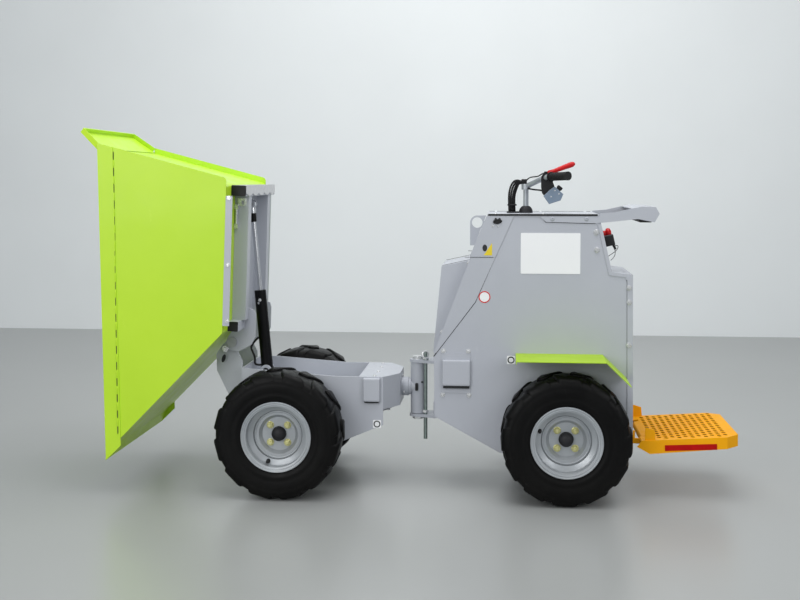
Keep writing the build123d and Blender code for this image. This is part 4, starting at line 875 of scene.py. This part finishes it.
disc_at = (0.3129, 0.81)
keep_plate("disc_film", moved(oval(0.0245, 0.0245, 40), *disc_at), cover_y, 0.0006,
           "rear_body", "label_white")
red_rim = bmesh.new()
side_ring(red_rim, disc_at, 0.0243, 0.0198, -1, cover_y + film_lift, 0.0005)
keep("disc_rim_film", red_rim, "rear_body", "red_plastic", film_red)
keep_plate("corner_patch", [(0.309, 0.981), (0.343, 0.981), (0.343, 1.031)], flange_y, 0.0006,
           "rear_body", "paint_yellow", film_yellow)
keep_plate("dark_oval_film", moved(oval(0.0095, 0.014, 28), 0.3135, 1.011),
           flange_y + film_lift, 0.0005, "rear_body", "paint_black", film_black)
print("blank films are on")

# %% [markdown]
# Near the top of the hood a small oval socket takes the charging plug. It is a black moulding
# with a raised rim, two ears with screws above and two plated screws below. The rim is a sweep of
# its section around the oval, which is the same as a turned shape that was pulled wider.

# %% charging socket
to_left = (0, -1, 0)
form = bmesh.new()
add_turned(form, [(-0.001, 0), (-0.001, 0.0105), (0.004, 0.0105), (0.0052, 0.009),
                  (0.0052, 0.0076), (0.0022, 0.007), (0.0022, 0)], (0, 0, 0), to_left, 36)
for v in form.verts:
    v.co.x = v.co.x * 1.75 + v.co.z * 0.25
bmesh.ops.translate(form, verts=form.verts, vec=(0.3646, -flange_y, 1.1192))
for x in (0.3575, 0.3725):
    add_turned(form, [(-0.001, 0), (-0.001, 0.0052), (0.0022, 0.0052), (0.003, 0.004), (0.003, 0)],
               (x, -flange_y, 1.1285), to_left, 18)
keep("charging_socket", form, "rear_body", "black_plastic")
fasteners("socket_screws", button_head,
          on_sides([(0.3464, 1.1005), (0.3667, 1.1005)], flange_y, 0.0042, sides=(-1,)),
          "rear_body", "zinc_steel")

# %% [markdown]
# Where two covers meet there is a narrow gap, and the shade in it reads as a dark line. The gaps
# are thin dark strips of painted shade that follow the edges of the covers. Cutting them into the
# sheets would need another shape for every cover, and nobody could tell the difference from a
# metre away.

# %% panel gaps
# a near-black finish that paints the shade in panel gaps, vent mouths and the rim groove; the hinge bosses use it
# too
shade_black = surface("panel_gap", (0.007, 0.008, 0.01), (0.014, 0.015, 0.018), (0.7, 0.85),
                   blotch=30.0, relief=0.2)

# points (x, z) from the steering pivot in millimetres, width, face and depth in metres
gap_lines = (
    ([(79.5, 562.5), (249.5, 788), (401, 1139)], 0.0036, cover_y, 0.0007),
    ([(206, 973), (323, 973)], 0.002, 0.2074, 0.0009),
    ([(516, 1138), (534, 1117), (734, 1111.5)], 0.0024, cover_y, 0.0007),
    ([(748, 1104), (789, 913), (858, 900), (862, 872), (868, 245)], 0.0022, cover_y, 0.0006),
    ([(112, 935), (226, 960)], 0.0016, nose_y, 0.0004))
form = bmesh.new()
for line, width, y, depth in gap_lines:
    points = [Vector((pivot_x + x / 1000, z / 1000)) for x, z in line]
    for low, high in zip(points, points[1:]):
        along = (high - low).normalized() * (width / 2)
        edge = Vector((-along.y, along.x))
        for side in (-1, 1):
            side_plate(form, [low + edge, high + edge, high - edge, low - edge], side, y, depth)
keep("panel_gaps", form, "rear_body", "axle_black", shade_black)

# %% [markdown]
# A black rubber edging is pressed over the top edge of the lid, where hands reach over it. Its
# section is a small rounded bead, so each strip is a prism along the edge.

# %% lid edging
form = bmesh.new()
for side in (-1, 1):
    add_prism(form, rounded_box(0.0042, 0.008, 0.0018, 3), (0.3265, side * 0.2079, 1.1462),
              (0, 1, 0), (0, 0, 1), 0.441)
keep("lid_edging", form, "rear_body", "black_rubber")
print("panel gaps and lid edging are on")

# %% [markdown]
# Two vent covers are pressed like shallow hoods, with a soft pillow and an open mouth at the
# bottom, whose inside lies in deep shade. The larger one also has a flat flange with bolts. Each
# pillow is made of shrinking outlines and is closed; a dark plate under it is painted shade for
# the mouth. A bevelled box would miss the soft edge.

# %% vent covers
def add_pillow(form, x, z, width, height, depth, y, round_by):
    """Adds a closed pillow on the left face: outlines that shrink towards the front."""
    rings = []
    for share, out in ((0.0, 0.0), (0.0, 0.55), (0.12, 0.8), (0.35, 0.95), (0.8, 1.0)):
        shrink = 2 * share * round_by
        outline = rounded_box(width - shrink, height - shrink, 0.006, 4)
        rings.append([form.verts.new((x + u, -(y + depth * out), z + v)) for u, v in outline])
    skin(form, rings, caps=True)


form = bmesh.new()
side_plate(form, moved(rounded_box(0.1195, 0.1635, 0.005), 0.1965, 0.495), -1, 0.2051, 0.003)
add_pillow(form, 0.1985, 0.497, 0.116, 0.108, 0.0148, 0.208, 0.01)
box_look = keep("side_vent_cover", form, "rear_body", "paint_grey")
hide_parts("side_box_cover")
# the dark plate under the pillow is painted shade inside the open mouth
keep_plate("side_vent_mouth", moved(rounded_box(0.108, 0.0085, 0.003), 0.1985, 0.4385),
           0.2079, 0.0122, "rear_body", "axle_black", shade_black)

chassis_y = 0.1903
form = bmesh.new()
add_pillow(form, -0.1535, 0.418, 0.071, 0.099, 0.0175, chassis_y, 0.009)
front_look = keep("front_vent_cover", form, "front_frame", "paint_grey")
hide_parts("front_box_cover")
# the dark plate under the pillow is painted shade inside the open mouth
keep_plate("front_vent_mouth", moved(rounded_box(0.06, 0.007, 0.0025), -0.1535, 0.367),
           chassis_y, 0.0115, "front_frame", "axle_black", shade_black)
print("two vent covers")

# %% [markdown]
# A white plate is riveted on each side of the body. It stays blank. It is a thin prism with round
# corners, a little wider towards the front than its backing.

# %% name plates
form = bmesh.new()
for side in (-1, 1):
    side_plate(form, moved(rounded_box(0.2405, 0.166, 0.004), 0.5795, 0.99), side, 0.2052, 0.0014)
plates = keep("blank_plates", form, "rear_body", "label_white")
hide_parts("label_plates")

# %% [markdown]
# The emergency stop is a red mushroom on a short red neck, with a black switch block beside it.
# The mushroom is turned from its section, tilted to stand square on the leaning panel. Two thin
# wires leave the block and go back into the panel.

# %% emergency stop
lean, sunk = math.radians(12.8), 0.0165
panel_way = Vector((math.cos(lean), 0, math.sin(lean)))
stop_centre = middle("stop_button")
form = bmesh.new()
add_turned(form, [(-0.0002, 0), (-0.0002, 0.0165), (0.006, 0.0168), (0.008, 0.0125),
                  (0.017, 0.0118), (0.019, 0.0165), (0.022, 0.0196), (0.027, 0.0203),
                  (0.032, 0.0192), (0.036, 0.0155), (0.0385, 0.009), (0.0392, 0)],
           stop_centre - panel_way * sunk, panel_way, 40)
stop_look = keep("stop_mushroom", form, "rear_body", "red_plastic", smooth=True)
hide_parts("stop_button")


def tube_along(origin, points, radius, sides, steps=6):
    """A closed round tube along a smooth line through points measured from origin."""
    data = bpy.data.curves.new("tube", "CURVE")
    data.dimensions = "3D"
    data.resolution_u = steps
    data.bevel_depth = radius
    data.bevel_resolution = max(1, sides // 4)
    data.use_fill_caps = True
    line = data.splines.new("NURBS")
    line.points.add(len(points) - 1)
    for point, place in zip(line.points, points):
        point.co = (*(Vector(origin) + Vector(place)), 1)
    line.order_u = 4
    line.use_endpoint_u = True
    return plain_mesh(placed("tube", data))


def tubes(name, origin, routes, body, slot_name, sides=12):
    """One piece of several tubes: routes are (points, radius)."""
    form = bmesh.new()
    for points, radius in routes:
        form.from_mesh(tube_along(origin, points, radius, sides))
    keep(name, form, body, slot_name, smooth=True)


tubes("stop_wires", middle("stop_housing"), [
    ([(0.012, -0.004, -0.02), (0.034, -0.01, -0.006), (0.036, -0.012, -0.03),
      (0.012, -0.01, -0.045), (-0.006, -0.004, -0.058)], 0.0014),
    ([(0.014, 0.004, -0.02), (0.028, 0.006, -0.036), (0.026, 0.004, -0.06),
      (0.004, 0.0, -0.075)], 0.0012)], "rear_body", "black_plastic", sides=8)
print("stop mushroom at", [round(v, 4) for v in stop_centre])

# %% [markdown]
# A loom of four leads rises from its foot plate in one arch and goes down into the steering
# post, and two thin leads run on along the bar to the lever and the switch box. They are held at
# both ends, so they never hang free. Each lead is a smooth spline with a round section, which
# bends the way a real lead does, with no corners.

# %% control leads
post_radius, lead_radius = 0.019, 0.0044
post = Vector((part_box("handlebar")[0].x + post_radius, 0, lid_z))
upright = (0, 0, 1)
print("steering post at x", round(post.x, 4))
form = bmesh.new()
for y, foot_x, knee_x, knee_z, top_z in (
        (-0.009, -0.07, -0.074, 0.088, 0.142), (0.0, -0.062, -0.065, 0.086, 0.136),
        (0.009, -0.054, -0.056, 0.083, 0.132), (0.017, -0.047, -0.049, 0.08, 0.128)):
    form.from_mesh(tube_along(post, [
        (foot_x, y, 0.0063), (foot_x - 0.002, y, 0.05), (knee_x, y, knee_z),
        (knee_x + 0.02, y * 0.7, top_z), (-0.028, y * 0.5, top_z - 0.004),
        (-0.01, y * 0.3, 0.126)], lead_radius, sides=12, steps=10))
add_turned(form, [(0, 0), (0, 0.01), (0.002, 0.0118), (0.018, 0.0118), (0.02, 0.01),
                  (0.02, 0)], post + Vector((-0.008, 0, 0.1225)), upright, 28)
add_turned(form, [(0.0, 0.0), (0.0, 0.0195), (0.005, 0.0195), (0.007, 0.018), (0.007, 0.0)],
           post + Vector((-0.0585, 0.004, 0.03)), upright, 24)
loom_look = keep("control_leads", form, "rear_body", "black_rubber", smooth=True)
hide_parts("control_loom")
tubes("bar_leads", post, [
    ([(-0.004, -0.018, 0.126), (0.006, -0.022, 0.15), (0.036, -0.059, 0.152),
      (0.054, -0.075, 0.154), (0.066, -0.104, 0.168), (0.078, -0.118, 0.166)], 0.0026),
    ([(0.004, -0.014, 0.104), (0.03, -0.03, 0.098), (0.052, -0.072, 0.098),
      (0.07, -0.098, 0.094), (0.086, -0.108, 0.088)], 0.0036)], "handlebar", "black_rubber")

# %% [markdown]
# The hand lever is a thick red handle with a round end, cast in one piece, and the switch box
# under it has a black rotary knob. The lever is shaped from oval rings of points that grow and
# shrink along a line, the way a lofted shape is made, and the knob is turned.

# %% lever and knob
lever_y = middle("brake_lever").y
# x and z from the post, half width and half height of each ring
lever = [(Vector((post.x + x, lever_y, post.z + z)), wide, tall) for x, z, wide, tall in (
    (0.086, 0.17, 0.004, 0.005), (0.09, 0.1705, 0.0076, 0.0078), (0.112, 0.175, 0.0086, 0.009),
    (0.135, 0.184, 0.009, 0.0098), (0.158, 0.193, 0.0096, 0.0106),
    (0.176, 0.1995, 0.0104, 0.0118), (0.186, 0.203, 0.01, 0.0112),
    (0.193, 0.2055, 0.0072, 0.008), (0.197, 0.207, 0.003, 0.0035))]
across = Vector((0, 1, 0))
form = bmesh.new()
rings = []
for i, (centre, wide, tall) in enumerate(lever):
    along = lever[min(i + 1, len(lever) - 1)][0] - lever[max(i - 1, 0)][0]
    up = across.cross(along.normalized()).normalized()
    rings.append([form.verts.new(centre + across * u + up * v) for u, v in oval(wide, tall, 14)])
skin(form, rings, caps=True)
lever_look = keep("hand_lever", form, "handlebar", "red_metal", smooth=True)
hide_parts("brake_lever")

box_low, box_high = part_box("control_box")
form = bmesh.new()
add_turned(form, [(-0.004, 0), (-0.004, 0.0105), (0.004, 0.0105), (0.006, 0.0125),
                  (0.014, 0.012), (0.0165, 0.01), (0.0168, 0)],
           (box_high.x - 0.02, -0.122, box_high.z - 0.013), (0.62, 0, 0.78), 24)
keep("box_knob", form, "handlebar", "black_plastic")
fasteners("box_screws", button_head, [
    ((box_low.x + x, box_low.y + 0.0004, box_low.z + z), to_left, 0.0032)
    for x, z in ((0.03, 0.03), (0.062, 0.042), (0.045, 0.056))], "handlebar", "zinc_steel")

# %% [markdown]
# The rubber grips have raised rings that a hand holds on to. One ring is turned once, and the
# fastener tree repeats it along both grips, since a ring on a spot is placed just like a bolt.

# %% grip rings
grip_ring = shape_object("grip_ring", [
    ([(-0.0014, 0.0156), (-0.0012, 0.0166), (0.0, 0.0172), (0.0012, 0.0166),
      (0.0014, 0.0156)], 24)])
grip_start, ring_pitch, ring_count = 0.034, 0.0062, 15
spots = []
for side in (-1, 1):
    knee = post + Vector((0.085, side * 0.13, 0.151))
    tip = post + Vector((0.16, side * 0.24, 0.155))
    way = (tip - knee).normalized()
    spots += [(knee + way * (grip_start + ring_pitch * i), way, 1.0) for i in range(ring_count)]
fasteners("grip_rings", grip_ring, spots, "handlebar", "black_rubber")
print("controls are dressed")

# %% [markdown]
# At the tower the skip turns on its hinge. A keeper bolt and an oval boss stand on the arm, and a
# pale scalloped guard hangs over the rear tube. The ram's barrel wears a thin painted sleeve, its
# rod ends in a black collar, and a short pressure pipe runs down beside it. Turned, prism and
# tube shapes make all of them.

# %% tower details
arm_y, boss_y, skip_y = 0.163, 0.1705, 0.3812
form = bmesh.new()
for side in (-1, 1):
    side_plate(form, moved(oval(0.008, 0.017, 28, lean=0.004), -0.7835, 0.537),
               side, boss_y, 0.0035)
keep("hinge_bosses", form, "skip", "axle_black", shade_black)
fasteners("keeper_bolts", hex_head, on_sides([(-0.7785, 0.576)], arm_y, 0.0095),
          "skip", "zinc_steel")

guard_half, skirt, scallop_deep, scallops = 0.284, -0.034, 0.01, 5
outline = [(-guard_half, 0.0), (guard_half, 0.0), (guard_half, skirt)]
for i in range(scallops):
    for k in range(1, 10):
        y = guard_half - 2 * guard_half * (i + k / 9) / scallops
        outline.append((y, skirt - scallop_deep * math.sin(math.pi * k / 9)))
form = bmesh.new()
add_prism(form, outline, (-0.6562, 0, 1.2668), (0, 1, 0), upright, 0.0022)
pale_zinc = surface("pale_galvanised", (0.58, 0.585, 0.6), (0.7, 0.705, 0.72), (0.34, 0.52),
                    metal=0.25, blotch=70.0, grain=500.0, relief=0.2)
keep("tube_guard", form, "skip", "rim_silver", pale_zinc)

ram_length, eye_from_hinge = 0.7218, Vector((0.0529, 0, 0.579))
foot_pin, skip_hinge = joint_place("ram_swing"), joint_place("skip_tip")
rod_way = (skip_hinge + eye_from_hinge - foot_pin).normalized()
eye_at = foot_pin + rod_way * ram_length
print("ram foot", [round(v, 4) for v in foot_pin], "eye", [round(v, 4) for v in eye_at])
for name, section, origin, steps, body in (
        ("rod_collar", [(-0.078, 0.0101), (-0.078, 0.0125), (-0.074, 0.0138), (-0.026, 0.0138),
                        (-0.022, 0.0125), (-0.022, 0.0101)], eye_at, 32, "ram_rod"),
        ("barrel_sleeve", [(-0.018, 0.0128), (-0.018, 0.019), (-0.012, 0.0252), (0.344, 0.0252),
                           (0.3468, 0.024), (0.3468, 0.0112)], foot_pin, 40, "ram_barrel")):
    form = bmesh.new()
    add_turned(form, section, origin, rod_way, steps)
    keep(name, form, body, "paint_black")
tubes("ram_pipe", (0, 0, 0), [
    ([(-0.668, -0.014, 0.606), (-0.679, -0.014, 0.596), (-0.701, -0.015, 0.57),
      (-0.7015, -0.015, 0.556), (-0.6865, -0.015, 0.528), (-0.6835, -0.015, 0.508),
      (-0.688, -0.014, 0.489), (-0.672, -0.012, 0.484), (-0.65, -0.01, 0.486)], 0.0046)],
      "ram_barrel", "black_rubber")
fasteners("barrel_port", hex_head, [
    (foot_pin + rod_way * 0.305 + Vector((0, -0.0248, 0)), to_left, 0.0046),
    (foot_pin + rod_way * 0.292 + Vector((-0.006, -0.0242, 0)), to_left, 0.0036)],
    "ram_barrel", "zinc_steel")

# %% [markdown]
# The angles under the skip's floor end just below the rear tube. The look is a copy of their
# mesh, cut level at that height and closed again, which keeps the rest of the shape exact.

# %% floor angles
angle_top = 1.224
form = bmesh.new()
form.from_mesh(frame["nodes"]["floor_angles"].data)
bmesh.ops.remove_doubles(form, verts=form.verts, dist=1e-6)
bmesh.ops.bisect_plane(form, geom=form.verts[:] + form.edges[:] + form.faces[:],
                       plane_co=(0, 0, angle_top), plane_no=upright, clear_outer=True)
bmesh.ops.holes_fill(form, edges=[e for e in form.edges if e.is_boundary], sides=0)
angles_look = keep("floor_angles_look", form, "skip", "paint_grey")
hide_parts("floor_angles")
angle_places = [(-0.7118 + (z - 0.9) * 0.0205, z) for z in (0.72, 0.947, 1.216)]
fasteners("angle_bolts", hex_head, on_sides(angle_places, skip_y, 0.0058), "skip", "zinc_steel")

# %% [markdown]
# The steering pivot carries a lock rod with nuts, washers and a ring clip, a rubber stop on the
# tube and grease nipples. They are small, but a joint without them looks like a toy.

# %% pivot details
rod_x, rod_y, rod_r, nut_r = pivot_x + 0.034, -0.03, 0.0081, 0.0138
form = bmesh.new()
for z, high in ((0.507, 0.01), (0.5215, 0.009), (0.2955, 0.01)):
    add_turned(form, [(0, rod_r), (0, nut_r), (high, nut_r), (high, rod_r)],
               (rod_x, rod_y, z), upright, 6)
add_turned(form, [(-0.0022, 0.0125), (-0.0016, 0.015), (0.0, 0.016), (0.0016, 0.015),
                  (0.0022, 0.0125), (0.0, 0.0112)],
           (rod_x, rod_y - 0.01, 0.5455), (0, -1, 0.2), 28)
keep("lock_rod_nuts", form, "rear_body", "zinc_steel")
form = bmesh.new()
side_plate(form, moved(rounded_box(0.012, 0.032, 0.003), 0.0215, 0.404), -1, 0.0315, 0.008)
add_turned(form, [(-0.001, 0), (-0.001, 0.0042), (0.0012, 0.0042), (0.0012, 0)],
           (0.0445, -0.0265, 0.4235), (0.6, -0.8, 0), 16)
keep("pivot_stop", form, "roll_pivot", "black_rubber")

form = bmesh.new()
for place, way in (((-0.032, -0.0395, 0.3845), (0, -1, -0.25)), ((-0.04, 0.0, 0.4405), upright)):
    add_turned(form, [(-0.001, 0), (-0.001, 0.0042), (0.004, 0.0042), (0.004, 0)], place, way, 6)
    add_turned(form, [(0.0035, 0), (0.0035, 0.0026), (0.006, 0.0024), (0.0075, 0.0034),
                      (0.009, 0.0034), (0.0105, 0.002), (0.0105, 0)], place, way, 16)
keep("roll_nipples", form, "roll_pivot", "zinc_steel")
print("pivot details are on")

# %% [markdown]
# Lastly the wheels get the beads that a pressed rim has: two on the flange, one on the disc and
# one on the step between them, with a dark ring around the disc that paints the shade in the
# groove there. Each is a turned ring, let a little into the steel below.

# %% rim beads
hub_y = 0.32
# sections (outwards from the hub face, radius) and sides
beads = (
    ([(0.0935, 0.1366), (0.0962, 0.1376), (0.0971, 0.1394), (0.0968, 0.141),
      (0.0945, 0.142)], 96),
    ([(0.0915, 0.1284), (0.0944, 0.1294), (0.0952, 0.131), (0.0944, 0.1326),
      (0.092, 0.1336)], 96),
    ([(0.0372, 0.09), (0.0396, 0.0915), (0.0408, 0.0945), (0.04, 0.0972),
      (0.0372, 0.099)], 80),
    ([(0.056, 0.1205), (0.0585, 0.1195), (0.0605, 0.1205), (0.0605, 0.1236),
      (0.056, 0.1236)], 80))
# a near-black ring: painted shade in the groove around the disc
groove_shade = (([(0.0366, 0.1002), (0.0396, 0.1006), (0.0396, 0.1046), (0.0366, 0.105)], 80),)
for corner in valve_turns:
    at, way = on_wheel(corner, 0, 0, hub_y), (0, side_of[corner], 0)
    for name, rings, slot_name, finish, smooth in (
            ("rim_beads_", beads, "rim_silver", None, True),
            ("rim_gap_", groove_shade, "axle_black", shade_black, False)):
        form = bmesh.new()
        for section, steps in rings:
            add_turned(form, section, at, way, steps)
        keep(name + corner, form, "wheel_" + corner, slot_name, finish, smooth)

# %% [markdown]
# The front edge of the tread bends down over the folding rod, so that a boot cannot catch. This
# apron is a bent plate: a prism along the rod with the bend in its outline.

# %% step apron
form = bmesh.new()
bend = [(0.014, 0.0182), (0.002, 0.015), (-0.008, 0.0118), (-0.0125, 0.006), (-0.015, -0.006),
        (-0.012, -0.006), (-0.01, 0.0045), (-0.0062, 0.0092), (0.004, 0.0125), (0.014, 0.0148)]
add_prism(form, bend, (hinge.x, 0.142, hinge.z), (1, 0, 0), upright, 0.284)
keep("step_apron", form, "step", "paint_yellow")
print("the scene has", len(made_pieces), "added pieces")
